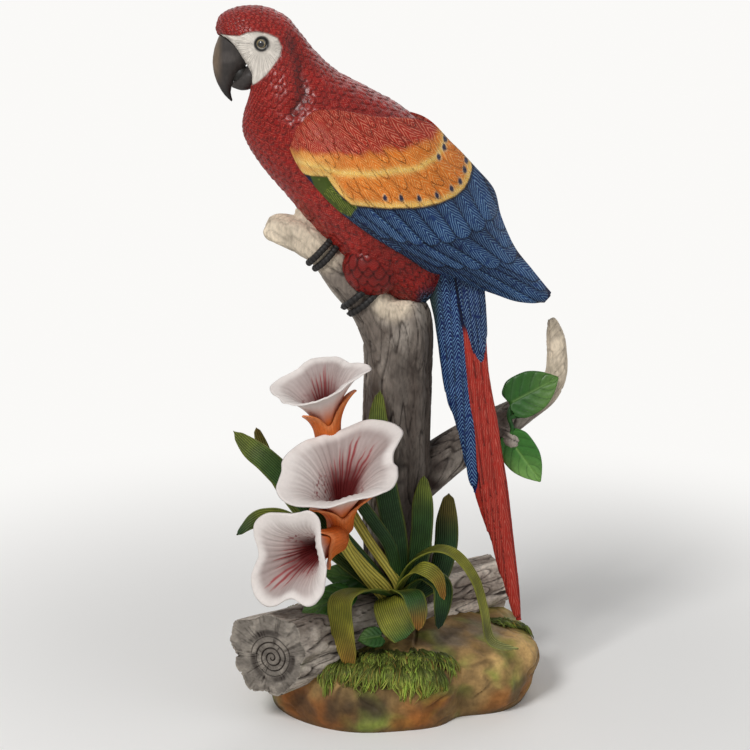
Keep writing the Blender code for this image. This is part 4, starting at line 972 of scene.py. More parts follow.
def make_tail():
    look = settings("plumage")
    parts = (
        ("tail_red", TAIL_RED_ROWS, 250, glaze(152, 40, 30), glaze(190, 92, 78), glaze(74, 16, 14)),
        ("tail_blue", TAIL_BLUE_ROWS, 210, look.blue, look.blue_stroke, look.navy),
        ("tail_coverts", TAIL_COVERT_ROWS, 110, look.blue, glaze(122, 156, 184), look.navy),
    )
    for name, table, count, base, light, dark in parts:
        rows = spline(table, count)
        turn = turns(72)
        middle, half = (rows[:, 0:1] + rows[:, 1:2]) / 2, (rows[:, 1:2] - rows[:, 0:1]) / 2
        # A squarer oval keeps the flat face that a fan of feathers has
        flat = np.sign(np.sin(turn)) * np.abs(np.sin(turn)) ** 0.7
        x = middle + half * np.cos(turn)
        y = -TAIL_BACKSET + rows[:, 3:4] * TAIL_HALF_DEPTH * 0.92 * flat
        z = rows[:, 2:3] + 0 * x
        roots, tips, vanes, width = TAIL_VANES[name]
        coat = lay_vanes(x, z, vane_row(roots, tips, vanes, width, 1.0))
        rings = np.stack([x, y, z + TRUNK_TOP], -1)
        relief = 0.8 * (coat["lift"] - 0.5) + 0.1 * noise(rings, 3, 6)
        ring_at = np.arange(count)[:, None]
        ends = ease(0, 6, ring_at) * ease(count, count - 6, ring_at)
        rings = rings + outward(rings) * (relief * ends)[..., None]
        # Painted shade under the edges of the feathers
        deep = coat["crevice_shade"]
        ground = mix(mix(base, np.array(base) * 1.4, coat["tone"] * 0.5), dark, deep * 0.9)
        stroke = mix(light, dark, deep)
        nodes = ()
        steep = 0.47
        if name == "tail_red":
            nodes = ("macaw_tail",)
            steep = 0.12
            top = ease(-22, -15, z)
            ground, stroke = mix(ground, look.navy, top), mix(stroke, look.blue, top)
        patch = ease(26, 20, x) * ease(-40, -10, z) * (name == "tail_blue")
        ground = mix(ground, glaze(30, 46, 48), patch)
        stroke = mix(stroke, glaze(66, 84, 84), patch)
        barb = steep * coat["along"] - math.sqrt(1 - steep**2) * np.abs(coat["across"])
        piece = grid_piece(name, rings, ground=ground, stroke=stroke, barb=barb)
        finish(piece, "tail", "tail_plumage", *nodes)


# Wood

# Share of the trunk's height, x and y in mm, share of the trunk's radius across and sideways
TRUNK_ROWS = (
    (-0.08, 1, 9, 1.6, 1.45), (0.03, 1, 8, 1.28, 1.2), (0.12, 0, 6, 1.08, 1.06), (0.3, -1, 4, 1, 1),
    (0.55, -1.5, 2, 1.02, 1), (0.75, -1, 1, 0.98, 0.96), (0.9, -1.5, 0, 1.05, 1),
    (0.97, -2, 0, 0.98, 0.95), (1, -2, 0, 0.7, 0.7),
)
GROUND_HEIGHT = 51.0
TRUNK_HEIGHT = 195.0
TRUNK_RADIUS = 19.5
PERCH_RADIUS = 11.2
SIDE_BRANCH_RADIUS = 13.0
# x, y in mm, height above the trunk's top in mm, share of the branch's radius
PERCH_ROWS = (
    (0, 0, -40, 1.5), (-6, -1, -20, 1.5), (-16, -2, -3, 1.34), (-30, -3, 12, 1.12), (-44, -4, 28, 0.96),
    (-55, -4, 35, 0.95), (-66, -4, 39.5, 0.88), (-74, -4, 42, 0.72), (-77.5, -4, 43.5, 0.42),
)
PERCH_STUB_ROWS = (
    (-49, -4, 32, 0.6), (-52.5, -3, 40, 0.48), (-56, -2, 48, 0.4), (-58, -2, 53, 0.26),
)
SIDE_BRANCH_ROWS = (
    (6, 8, -122, 1), (19, 12, -110, 1.05), (31, 16, -101, 1), (43, 20, -94, 0.94), (61, 24, -85, 0.82),
    (76, 26, -76, 0.7), (88, 26.5, -67, 0.6), (94, 26.5, -56, 0.52), (95, 26, -43, 0.48),
    (94, 26, -31, 0.42), (91, 26, -20, 0.2),
)
SIDE_STUB_ROWS = (
    (56, 20, -88, 0.6), (64, 15, -90, 0.58), (70, 12, -92, 0.48), (73, 11, -93, 0.26),
)


def branch_path(table, radius):
    """Rows of a round branch for tube()."""
    rows = spline(table, 6 * len(table))
    thick = rows[:, 3] * radius
    return np.column_stack([rows[:, 0], rows[:, 1], rows[:, 2] + TRUNK_TOP, thick, thick])


def trunk_path():
    """Rows of the trunk for tube()."""
    rows = spline(TRUNK_ROWS, 80)
    height = GROUND_HEIGHT + rows[:, 0] * TRUNK_HEIGHT
    return np.column_stack([rows[:, 1:3], height, rows[:, 3:] * TRUNK_RADIUS])


def limb_weights(points, paths):
    """How much each path has to say at each point."""
    weights = []
    for path in paths:
        gap = np.linalg.norm(points[:, None] - path[None, :, :3], axis=-1) - path[None, :, 3]
        weights.append(np.exp(-gap.min(1) / 2.5))
    weights = np.array(weights)
    return weights / weights.sum(0)


def bark_relief(points, paths):
    """Swell of the bark, about -1 to 1, then its wide and its narrow furrows, 0 to 1."""
    wavy = points + 2.4 * drift(points, 26, 31)
    swell, furrow, hair = (np.zeros(len(points)) for _ in range(3))
    for number, (path, weight) in enumerate(zip(paths, limb_weights(points, paths))):
        direction = path[-1, :3] - path[0, :3]
        wide = grain(wavy, direction, 6.5, 2 + number)
        narrow = grain(wavy, direction, 3.0, 7 + number)
        swell += weight * grain(wavy, direction, 11, 12 + number)
        furrow += weight * ease(0.12, 0.0, np.abs(wide))
        hair += weight * ease(0.14, 0.0, np.abs(narrow))
    return swell, furrow, hair


def flutes(share, turn, count, twist, depth=0.9):
    """Long furrows round a trunk, as part of its main shape: how far they stand out in mm."""
    lumps = [
        [mathutils.noise.noise(Vector((math.cos(a), math.sin(a), s * 5)) * 1.3) for a in turn]
        for s in share
    ]
    return depth * (np.sin(count * turn[None] + twist * share[:, None]) + 1.6 * np.array(lumps))


def fluted(path, count, twist, depth):
    """Rings of a tube with long furrows round it."""
    rings = tube(path, 64)
    share, turn = np.linspace(0, 1, len(path)), turns(64)
    around = unit(rings - path[:, None, :3])
    return rings + around * flutes(share, turn, count, twist, depth)[..., None] if count else rings


def make_limb(name, node, paths, flute_sets, cream_at, dark_paint_and_shade):
    """Trunk or branches in one skin: tubes joined by voxels, then cut with bark. flute_sets has the count,
    twist and depth of each path's flutes, and cream_at where bare wood is and how far it spreads. The
    function at the end gives, at each point, how much darker it is painted, partly as painted shade and
    partly as the bark's own darker paint."""
    look = settings("wood")
    parts = [
        grid_piece(f"{name}_{number}", fluted(path, *flute_set))
        for number, (path, flute_set) in enumerate(zip(paths, flute_sets))
    ]
    limb = join(name, parts)
    apply_modifier(limb, "REMESH", mode="VOXEL", voxel_size=look.voxel * MM)
    apply_modifier(limb, "SMOOTH", iterations=3, factor=0.5)
    points, normals = read_points(limb) / MM, read_points(limb, "normal")
    swell, furrow, hair = bark_relief(points, paths)
    calm = np.zeros(len(points))
    for centre, reach in cream_at:
        calm = np.maximum(calm, ease(reach, 0.45 * reach, np.linalg.norm(points - centre, axis=1)))
    depth = look.relief * (1 - 0.45 * calm)
    relief = depth * (0.35 * swell - 0.8 * furrow - 0.38 * hair)
    points = points + normals * (relief - 0.1)[:, None]
    limb.data.vertices.foreach_set("co", (points * MM).astype(np.float32).ravel())
    limb.data.update()
    colour = mix(look.grey, look.pale, ease(-0.35, 0.4, swell + 0.35 * noise(points, 8, 5)))
    shade = dark_paint_and_shade(points)
    # Darker paint and painted shade together
    colour = mix(colour, np.array(look.dark) * 2.0, 0.8 * shade)
    colour = mix(colour, look.cream, calm * (0.75 + 0.25 * ease(-0.2, 0.4, swell)))
    colour = mix(colour, look.dark, np.clip(0.85 * furrow + 0.45 * hair, 0, 1) * (1 - 0.62 * calm))
    store(limb, "ground", colour)
    bpy.ops.object.shade_smooth()
    finish(limb, "bark", "weathered_wood", node)


def make_stump():
    paths = [trunk_path(), branch_path(PERCH_ROWS, PERCH_RADIUS), branch_path(PERCH_STUB_ROWS, PERCH_RADIUS)]

    def dark_paint_and_shade(points):
        x, y, z = points.T
        # The lower right side, the trunk just under the bird, the foot near the ground and the right side
        # near the top are darker, partly as painted shade and partly as the bark's own paint
        low = ease(236, 190, z)
        right = ease(-13, -3, x + 3 * noise(points, 20, 9) + 0.25 * (y + 10))
        shade = low * right + 0.3 * ease(250, 225, z) + 0.4 * ease(110, 80, z)
        return np.clip(shade + 0.45 * ease(4, 16, x) * ease(252, 226, z), 0, 1)

    flute_sets = ((8, 3.0, 0.9), (5, 0.0, 0.54), (0, 0, 0))
    cream_at = (((-76, -4, 289), 34), ((-57, -2, 298), 26), ((-48, -10, 281), 24), ((-4, -14, 246), 16))
    make_limb("stump_bark", "stump", paths, flute_sets, cream_at, dark_paint_and_shade)


def make_side_branch():
    paths = [branch_path(rows, SIDE_BRANCH_RADIUS) for rows in (SIDE_BRANCH_ROWS, SIDE_STUB_ROWS)]

    def dark_paint_and_shade(points):
        # Darker towards the trunk and in random patches
        x = points[:, 0]
        patches = 0.5 * ease(0.2, -0.4, noise(points, 12, 3)) * ease(80, 50, x)
        return 0.9 * ease(40, 20, x) + patches

    flute_sets = ((5, 0.0, 0.45), (0, 0, 0))
    cream_at = (((94, 26, 212), 52),)
    make_limb("branch_bark", "side_branch", paths, flute_sets, cream_at, dark_paint_and_shade)


LOG_RADIUS = 21.5
LOG_BACK_RADIUS = 17.0
LOG_FRONT = np.array((-77.5, -62.0, 46.0))
LOG_BACK = np.array((59.0, 45.0, 53.0))
LOG_SAW_CUT = np.array((-0.42, -0.90, 0.06))
LOG_SEGMENTS = 220
# Distance between the rings of growth, and radius of the last one, in mm
GROWTH_STEP = 3.4
GROWTH_REACH = 15.5
# Angle round the sawn end in degrees, and share of the log's radius
LOG_RIM = (
    (0, 0.9), (37, 1.22), (55, 1.03), (80, 1.05), (123, 1.18), (136, 1.14), (171, 1), (209, 1.02),
    (240, 1.12), (270, 1.1), (292, 1.08), (325, 0.92), (360, 0.9),
)


def make_log():
    """A log that is sawn at its front end, with rings on the cut and bark along its sides."""
    look = settings("wood")
    axis = LOG_BACK - LOG_FRONT
    share = np.linspace(0, 1, 190)
    radius = LOG_RADIUS + (LOG_BACK_RADIUS - LOG_RADIUS) * share
    path = np.column_stack([LOG_FRONT + share[:, None] * axis, radius, radius])
    rings = tube(path, LOG_SEGMENTS, (0, 0, 1))
    around = unit(rings - path[:, None, :3])
    turn = turns(LOG_SEGMENTS)
    rim = np.interp(np.degrees(turn), *spline(LOG_RIM, 73).T)
    shape = flutes(share, turn, 9, 1.5) + LOG_RADIUS * (rim - 1) * np.maximum(0, 1 - 1.4 * share[:, None])
    rings = rings + around * shape[..., None]
    # Long wavy furrows and ridges of weathered wood
    wavy = rings + 1.6 * drift(rings, 17, 51)
    swell = grain(wavy, axis, 9, 3)
    furrow = ease(0.13, 0.0, np.abs(grain(wavy, axis, 5.5, 8)))
    hair = ease(0.14, 0.0, np.abs(grain(wavy, axis, 2.8, 9)))
    rings = rings + around * (0.35 * swell - 0.9 * furrow - 0.4 * hair)[..., None]
    reach = axis @ LOG_SAW_CUT
    slant = 1 - share[:, None]
    saw_gap = (LOG_FRONT - rings) @ LOG_SAW_CUT + reach * share[:, None]
    rings = rings + axis * (slant * saw_gap / reach)[..., None]
    colour = mix(look.grey, look.pale, ease(-0.4, 0.35, swell + 0.3 * noise(rings, 7, 12)))
    colour = mix(colour, look.dark, np.clip(0.8 * furrow + 0.5 * hair, 0, 1))
    moss = ease(0.1, 0.6, noise(rings, 18, 14)) * ease(52, 30, rings[..., 2])
    colour = mix(colour, settings("ground").moss, 0.45 * moss)
    back = ease(10, 45, rings[..., 0])[..., None]
    colour = colour * (1 + 0.9 * back)
    # The sawn face: an off-centre heart with rings of growth, radial scratches and a chipped edge
    inward = np.linspace(1, 0.02, 92)[:, None, None]
    heart = rings[0].mean(0) + (2.5, -1.0, -2.0)
    face = heart + (rings[0] - heart)[None] * inward
    depth = inward[..., 0] * np.ones((1, LOG_SEGMENTS))
    spread = np.linalg.norm(face - heart, axis=-1) + 0.8 * noise(face, 11, 2)
    spread = spread + turn / math.tau * GROWTH_STEP
    groove = ease(0.55, 0.95, np.cos(spread * math.tau / GROWTH_STEP))
    groove = groove * ease(GROWTH_REACH, GROWTH_REACH - 3, spread)
    # A broken crack runs round just inside the bark
    crack = 0.8 * ease(2.6, 0.6, np.abs(spread - 15.6)) * ease(0.0, 0.5, noise(face, 9, 3) + 0.3)
    groove = np.maximum(groove, crack)
    circle = np.stack([np.cos(turn) * 11, np.sin(turn) * 11, 0 * turn], -1)
    spokes = noise(circle[None] + 0 * face, 1.0, 5)
    scratch = ease(0.18, 0.0, np.abs(spokes)) * ease(4, 9, spread) * ease(-0.35, 0.25, noise(face, 4.5, 6))
    chip = ease(0.86, 1.0, depth) * ease(0.0, 0.5, noise(face, 6, 7))
    hollow = -0.9 * groove - 0.45 * scratch - 0.9 * chip - 0.25 + 0.25 * noise(face, 5, 8)
    face = face + unit(LOG_SAW_CUT) * (hollow * ease(1.0, 0.97, depth))[..., None]
    face_colour = mix(glaze(112, 105, 97), glaze(140, 132, 122), ease(-0.3, 0.5, noise(face, 6, 9)))
    dark = np.clip(0.9 * groove + 0.6 * scratch + 0.35 * ease(10, 3, spread), 0, 1)
    face_colour = mix(face_colour, look.dark, dark)
    face_colour = mix(face_colour, glaze(166, 158, 146), 0.5 * ease(0.95, 1.0, depth))
    rings = np.concatenate([face[::-1], rings])
    log = grid_piece("log_bark", rings, ground=np.concatenate([face_colour[::-1], colour]))
    bpy.ops.object.shade_smooth_by_angle(angle=math.radians(50))
    finish(log, "log", "weathered_wood", "fallen_log")


# Feet

# For each foot: the node it stands for, its share of the perch's length, and how far apart its
# toes are in mm
FEET = (
    ("toes_far", "macaw_right_foot", 0.50, 4.2),
    ("toes_near", "macaw_left_foot", 0.29, 5.0),
)
TOE_RADIUS = 1.9
TOE_RINGS = 15
TOE_RING_RELIEF = 0.16
# Share of a toe's length at which its claw starts, and the claw's share of it
CLAW_START = 0.84
CLAW_SHARE = 0.16


def make_feet():
    """Two ringed toes on each foot, which wrap the front of the perch and end in claws."""
    rows = spline(branch_path(PERCH_ROWS, PERCH_RADIUS), 41)
    for name, node, share, spread in FEET:
        index = round(share * 40)
        along = unit(rows[index + 2, :3] - rows[index - 2, :3])
        out = np.array((0.0, -1.0, 0.0))
        out = unit(out - (out @ along) * along)
        up = np.cross(out, along)
        up = up if up[2] > 0 else -up
        wrap = rows[index, 3] + 0.5 + TOE_RADIUS * 0.5
        toes = []
        for toe in (-0.5, 0.5):
            t = np.linspace(0, 1, 150)
            angle = np.radians(14 + 156 * t)[:, None]
            lean = toe * spread + 1.4 * toe * np.sin(t * math.pi)
            bow = (up * np.cos(angle) + out * np.sin(angle)) * wrap
            centre = rows[index, :3] + along * lean[:, None] + bow
            on_toe = t < CLAW_START
            ring = 1 + TOE_RING_RELIEF * np.abs(np.sin(t * math.pi * TOE_RINGS)) ** 0.6 * on_toe
            claw = np.where(on_toe, 1.0, np.clip((1 - t) / CLAW_SHARE, 0.06, 1) ** 0.7 * 0.86)
            radius = TOE_RADIUS * 0.93 * ring * claw
            rings = tube(np.column_stack([centre, radius, radius]), 26, along)
            seam = (1 - (ring - 1) / TOE_RING_RELIEF) * on_toe
            colour = mix(glaze(44, 42, 41), glaze(9, 8, 8), np.repeat(seam[:, None], 26, 1))
            toes.append(grid_piece(f"{name}_toe", rings, ground=colour))
        finish(join(name, toes), "toes", "black_toes", node)


# Ground

GROUND_HALF_WIDTH = 80.0
GROUND_HALF_DEPTH = 75.0
# Angle from +X in degrees, share of the half width at the rim, share at the foot
GROUND_OUTLINE = (
    (0, 1.06, 0.95), (25, 1.05, 0.92), (45, 1.02, 0.88), (90, 0.97, 0.87), (135, 1, 0.88),
    (180, 1, 0.95), (205, 1.02, 0.99), (233, 1.01, 0.99), (250, 1, 0.97), (270, 0.92, 0.89),
    (290, 0.89, 0.84), (307, 0.83, 0.75), (328, 0.98, 0.91), (345, 1.04, 0.96), (360, 1.06, 0.95),
)
# Share of the way from foot to rim, share of the rim's radius, share of the height
GROUND_SECTION = (
    (0, 1, 0), (0.55, 1, 0.12), (1, 1, 0.38), (1, 0.98, 0.6), (1, 0.88, 0.74), (1, 0.68, 0.83),
    (1, 0.42, 0.92), (1, 0.18, 0.99), (1, 0.05, 1),
)
# Ledges and hollows of the rock: x, y and height as shares of the half width, half depth and
# height, how far each spreads as a share of the half width, and its share of the relief
ROCK_LUMPS = (
    (-0.54, -0.85, 0.33, 0.19, 1), (-0.19, -0.95, 0.43, 0.15, -1), (0.1, -0.89, 0.24, 0.16, 0.8),
    (-0.21, -0.93, 0.1, 0.13, 0.6), (0.54, -0.64, 0.26, 0.15, -1), (0.78, -0.56, 0.31, 0.15, 1),
    (0.71, -0.59, 0.51, 0.13, 0.5), (0.58, -0.57, 0.7, 0.16, 0.9), (0.29, -0.65, 0.78, 0.15, -0.8),
    (0.95, -0.19, 0.67, 0.19, 0.9), (0.39, -0.75, 0.55, 0.13, 0.7), (-0.84, -0.57, 0.22, 0.18, 0.7),
    (0.28, -0.83, 0.18, 0.13, -0.6), (0.9, 0.16, 0.31, 0.19, -0.8), (0.75, 0.53, 0.59, 0.21, 1),
    (0.38, 0.88, 0.39, 0.2, -0.9), (0, 0.93, 0.59, 0.2, 0.9), (-0.4, 0.83, 0.31, 0.19, -0.8),
    (-0.75, 0.53, 0.59, 0.21, 0.9), (-0.98, 0.07, 0.39, 0.19, -0.7), (0.6, 0.27, 0.86, 0.18, 0.6),
    (-0.5, 0.4, 0.9, 0.18, 0.6), (0.19, 0.6, 0.9, 0.18, -0.5),
)
ROCK_RELIEF = 3.4
# Painted patches: x, y and height in mm, how far they spread, colour and strength
GROUND_PATCHES = (
    (-58, -50, 13, 20, "rust", 0.9), (-40, -63, 9, 17, "rust", 0.9),
    (24, -70, 9, 17, "rust", 0.95), (6, -72, 4, 15, "rust", 0.8),
    (60, -45, 8, 14, "rust", 0.6), (75, -20, 12, 14, "rust", 0.5),
    (-17, -72, 7, 9, "moss", 0.9), (24, -64, 36, 8, "moss", 0.9),
    (57, -51, 26, 9, "moss", 0.95), (66, -36, 20, 8, "moss", 0.7),
    (36, -52, 43, 9, "moss", 0.8), (-16, -73, 17, 13, "umber", 0.9),
    (-34, -66, 15, 14, "umber", 0.9), (-52, -54, 12, 14, "umber", 0.8),
    (42, -63, 17, 13, "umber", 0.9), (22, -50, 42, 9, "slate", 0.85),
    (58, -42, 35, 10, "ochre", 0.8), (72, -20, 33, 15, "ochre", 0.9),
    (66, -34, 28, 10, "moss", 0.45), (48, -50, 22, 9, "ochre", 0.4),
    (30, -30, 50, 16, "slate", 0.6), (52, -10, 48, 16, "slate", 0.5),
    (40, -48, 44, 10, "moss", 0.6), (62, -30, 40, 11, "moss", 0.5),
    (70, -36, 12, 12, "umber", 0.6), (78, 20, 18, 18, "rust", 0.8),
    (50, 60, 12, 20, "rust", 0.8), (0, 74, 10, 20, "umber", 0.7),
    (-50, 58, 14, 20, "rust", 0.8), (-78, 10, 16, 18, "rust", 0.7),
    (60, 42, 36, 13, "moss", 0.8), (10, 70, 32, 14, "moss", 0.8),
    (-40, 56, 38, 15, "moss", 0.8), (-70, 30, 34, 14, "ochre", 0.8),
    (30, 60, 42, 15, "ochre", 0.7),
)


def rock_relief(x, y, height):
    """How far the rock stands out at a place given in shares of the ground's size."""
    flat = GROUND_HEIGHT / GROUND_HALF_WIDTH
    total = np.zeros(np.broadcast(x, y, height).shape)
    for lump_x, lump_y, lump_height, spread, rise in ROCK_LUMPS:
        gap = np.sqrt((x - lump_x) ** 2 + (y - lump_y) ** 2 + (flat * (height - lump_height)) ** 2)
        total += rise * np.exp(-((gap / spread) ** 2))
    return ROCK_RELIEF * total * np.minimum(1, height / 0.12)


def make_ground():
    look = settings("ground")
    outline = spline(GROUND_OUTLINE, 361)[:-1]
    section = spline(GROUND_SECTION, 150)
    turn = np.radians(outline[:, 0])
    to_rim, share, height = (section[:, k][:, None] for k in range(3))
    radius = (outline[:, 2] + (outline[:, 1] - outline[:, 2]) * to_rim) * share
    x, y = radius * np.cos(turn), radius * np.sin(turn)
    rings = np.stack([GROUND_HALF_WIDTH * x, GROUND_HALF_DEPTH * y, GROUND_HEIGHT * height + 0 * x], -1)
    rock = rock_relief(x, y, height)
    rings = rings + unit(rings - (0, 0, GROUND_HEIGHT * 0.3)) * rock[..., None]
    # Soft knocks and creases of the modelled clay, over the ledges
    tilted = rings @ np.array(((0.9, 0.1, -0.3), (-0.2, 0.8, 0.2), (0.25, -0.2, 1.6)))
    crease = ease(0.10, 0.0, np.abs(noise(tilted, 26, 5))) * ease(-0.1, 0.4, noise(rings, 30, 6))
    lump = noise(rings, 12, 8)
    fine = noise(rings, 5, 9)
    relief = look.relief * (0.7 * lump + 0.22 * fine - 0.6 * crease - 0.2) * ease(0, 8, rings[..., 2])
    points = rings + outward(rings) * relief[..., None]
    points[..., 2] = np.maximum(points[..., 2], 0)
    patch = noise(rings, 24, 11) + 0.35 * noise(rings, 8, 13)
    colour = mix(look.earth, look.ochre, 0.55 * ease(-0.1, 0.6, patch))
    colour = mix(colour, look.moss, 0.55 * ease(0.05, 0.5, noise(rings, 17, 23)))
    wander = 5.0 * drift(rings, 11, 40)
    for px, py, pz, spread, key, strength in GROUND_PATCHES:
        gap = np.linalg.norm(rings + wander - (px, py, pz), axis=-1) / spread
        colour = mix(colour, getattr(look, key), strength * ease(1.15, 0.35, gap))
    crown = ease(38, 45, rings[..., 2]) * ease(10, -20, rings[..., 0])
    colour = mix(colour, np.array(look.moss) * 0.5, 0.7 * crown)
    # The creases and hollows are darkened as painted shade, and the raised ledges lightened as painted
    # highlight
    hollow = np.clip(0.38 * crease + 0.35 * ease(0.0, -0.6, lump) + 0.35 * ease(-0.6, -2.4, rock), 0, 1)
    colour = mix(colour, look.umber, hollow)
    colour = colour * (1 + 0.25 * ease(0.2, 2.2, rock) + 0.16 * fine)[..., None]
    colour = mix(colour, np.array(look.umber) * 1.4, 0.55 * ease(5, 0, rings[..., 2]))
    ground = grid_piece("ground_rock", points, ground=colour)
    finish(ground, "earth", "earth", "ground")


# Tufts of grass on the ground: x and y where the tuft grows, its half width and half depth,
# how long its blades are, its share of the blades and how light it is
GRASS_TUFTS = (
    (-4, -52, 22, 3.5, 9, 0.2, 0.8), (18, -49, 12, 4, 8, 0.1, 0.7), (-30, -59, 13, 3.5, 11, 0.14, 0.75),
    (-14, -62, 12, 3, 11, 0.12, 0.9), (6, -62, 13, 3.5, 12, 0.18, 1.25), (20, -64, 8, 3, 10, 0.08, 1),
    (66, 4, 9, 4, 7, 0.06, 0.6), (-56, 32, 12, 5, 8, 0.06, 0.7), (30, 56, 14, 4, 9, 0.06, 0.8),
)


def make_grass():
    """Curved blades combed down the slope of the ground, in tufts that lie over each other."""
    look = settings("ground")
    rock = bpy.data.objects["ground_rock"].data
    corners = [vertex.co for vertex in rock.vertices]
    surface = BVHTree.FromPolygons(corners, [face.vertices for face in rock.polygons])
    dice = np.random.default_rng(SEED + 1)
    blades, colours = [], []
    for x, y, half_width, half_depth, reach, part, light in GRASS_TUFTS:
        for _ in range(round(look.blades * part)):
            start = np.array((x, y)) + dice.uniform(-1, 1, 2) * (half_width, half_depth)
            clump = 0.5 * math.sin(start[0] * 0.55) + 0.25 * math.sin(start[0] * 1.3 + 2)
            away = unit(start * (0.8, 1.2) + (clump * 44, 0) + dice.normal(size=2) * 17)
            length = reach * dice.uniform(0.6, 1.55)
            arch = dice.uniform(0.9, 2.8)
            path = []
            for t in np.linspace(0, 1, 8):
                at = start + away * length * t
                near = Vector((at[0], at[1], path[-1][2] - 1.2 if path else 48)) * MM
                place, normal, _, _ = surface.find_nearest(near)
                lift = 0.3 + arch * math.sin(math.pi * min(1, 0.1 + t * 0.9)) ** 0.9
                path.append(np.array(place) / MM + np.array(normal) * lift)
            width = dice.uniform(0.36, 0.62) * np.array((0.8, 1, 1, 1, 0.9, 0.75, 0.5, 0.12))
            blades.append(tube(np.column_stack([path, width * 0.8, width]), 5, (0.3, 0, 1)))
            tips = np.linspace(0, 1, 8)[:, None] * np.ones(5)
            tone = light * dice.uniform(0.25, 1.25)
            green = mix(look.grass, look.ochre, 0.4 * dice.random())
            # Each blade runs from painted shade at its root, deep in the tuft, to its light tip
            colour = mix(np.array(look.moss) * 0.24, green * tone, ease(0.15, 0.85, tips))
            if dice.random() < 0.12:
                colour = mix(colour, look.rust, 0.6 * tips)
            colours.append(colour)
    grass = grid_pieces("grass_blades", np.array(blades), ground=np.array(colours))
    finish(grass, "grass", "earth")


# Lilies

# For each lily: where its throat starts (from the crown of leaves, in mm), its axis, a level
# direction that the rim's angles start from, the rim as angle, radius and height in mm, and
# where the middle of the veins is and how far they spread to each side, in degrees
LILIES = {
    "middle": {
        "at": (-30.5, -15, 55.5),
        "axis": (0.0, -0.36, 0.93),
        "start": (1, 0, 0),
        "rim": (
            (0, 33.5, 44), (10, 31.5, 44), (18, 33, 47), (25, 38, 49.5), (32, 43.5, 51),
            (40, 44.5, 52), (50, 43, 52), (61, 40, 52), (71, 36.5, 51), (81, 32, 49.5),
            (93, 28.5, 48.5), (115, 27, 48), (138, 28.5, 48), (158, 31, 47), (172, 33.5, 45),
            (182, 33.5, 42.5), (190, 35.5, 40), (199, 38.5, 38), (219, 38.5, 37), (238, 34.5, 38),
            (255, 31, 38), (272, 28, 39), (290, 27, 40), (310, 29.5, 41), (326, 34, 42),
            (342, 34.7, 43), (360, 33.5, 44),
        ),
        "veins": 68,
        "vein_spread": 44,
    },
    "top": {
        "at": (-37.5, -1, 106),
        "axis": (-0.10, -0.18, 0.98),
        "start": (1, 0, 0),
        "rim": (
            (0, 29, 43), (10, 24, 43), (22, 20, 42), (38, 19, 42), (60, 21, 42), (82, 20.5, 42),
            (103, 22, 41), (118, 23, 39), (129, 23, 37), (139, 26, 35), (149, 31, 32.5),
            (160, 33, 30.5), (173, 30, 29.5), (187, 26, 29), (205, 25, 29.5), (225, 23.5, 30.5),
            (245, 22, 32), (270, 20.5, 33.5), (300, 19, 35.5), (325, 21, 39), (341, 26, 41),
            (352, 30, 42.5), (360, 29, 43),
        ),
        "veins": 84,
        "vein_spread": 46,
    },
    "low": {
        "at": (-32.0, -25, 51.5),
        "axis": (-0.64, -0.76, -0.07),
        "start": (0.76, -0.64, 0),
        "rim": (
            (0, 24.8, 38), (12, 24.5, 38), (32, 26.5, 38), (45, 31, 38), (55, 37, 38.5), (64, 38, 40),
            (74, 33, 41), (84, 30, 42), (106, 29.6, 42), (125, 30.5, 43), (141, 30.7, 43),
            (154, 28.5, 43), (172, 25, 42), (186, 25, 41), (198, 29, 42), (208, 34, 43), (218, 38, 43),
            (228, 39.2, 43), (238, 38, 43), (248, 32.5, 43), (259, 26, 42), (271, 23.5, 41),
            (283, 25.5, 41), (294, 28, 41), (310, 28, 40), (330, 26.6, 39), (349, 25.2, 38),
            (360, 24.8, 38),
        ),
        "veins": 228,
        "vein_spread": 52,
    },
}
THROAT_RADIUS = 5.0
FLARE = 2.3
# How far the petals roll over at their rim, as a share of the bloom's height
PETAL_ROLL = 0.06
PETAL_WALL = 1.8
# Points of a bloom's mesh round it, and its rings over the outer and over the inner face
PETAL_SEGMENTS = 260
PETAL_OUTER = 66
PETAL_INNER = 84
VEINS = 10
SEPAL_WALL = 1.9
SEPALS = 3
SLEEVE_GAP = 0.85
STEM_RADIUS = 3.0
STEM_SEGMENTS = 54
# Routes from just below each calyx to the crown, in mm from the crown
STEM_ROUTES = {
    "middle": ((-26.5, -12, 43), (-15, -7, 27), (-4, -3, 14), (0, -1, 5)),
    "top": ((-35, 3, 84), (-28, 3, 66), (-14, 0, 42), (3, -1, 16), (3, 0, 4)),
    "low": ((-24, -16, 37), (-14, -9, 20), (-6, -4, 9), (-2, -1, 3)),
}


def lily_frame(lily):
    axis = unit(np.array(lily["axis"], float))
    start = np.array(lily["start"], float)
    start = unit(start - (start @ axis) * axis)
    return CROWN + np.array(lily["at"]), axis, start, np.cross(axis, start)


def trumpet(lily, turn, share, offset):
    """Points of the trumpet at angles in degrees and shares from throat to rim, moved out in mm."""
    base, axis, start, side = lily_frame(lily)
    table = np.array(lily["rim"], float)
    rim = spline(table, np.interp(turn % 360, table[:, 0], np.arange(len(table))))
    radius, height = rim[..., 1], rim[..., 2]
    width = THROAT_RADIUS + (radius - THROAT_RADIUS) * share**FLARE
    roll = PETAL_ROLL * np.sin(math.pi * share**3)
    steepness = 1 + PETAL_ROLL * 3 * math.pi * share**2 * np.cos(math.pi * share**3)
    slope = np.arctan2((radius - THROAT_RADIUS) * FLARE * share ** (FLARE - 1), height * steepness)
    width = width + offset * np.cos(slope)
    rise = height * (share + roll) - offset * np.sin(slope)
    angle = np.radians(turn)
    out = start * np.cos(angle)[..., None] + side * np.sin(angle)[..., None]
    return base + axis * rise[..., None] + out * width[..., None]


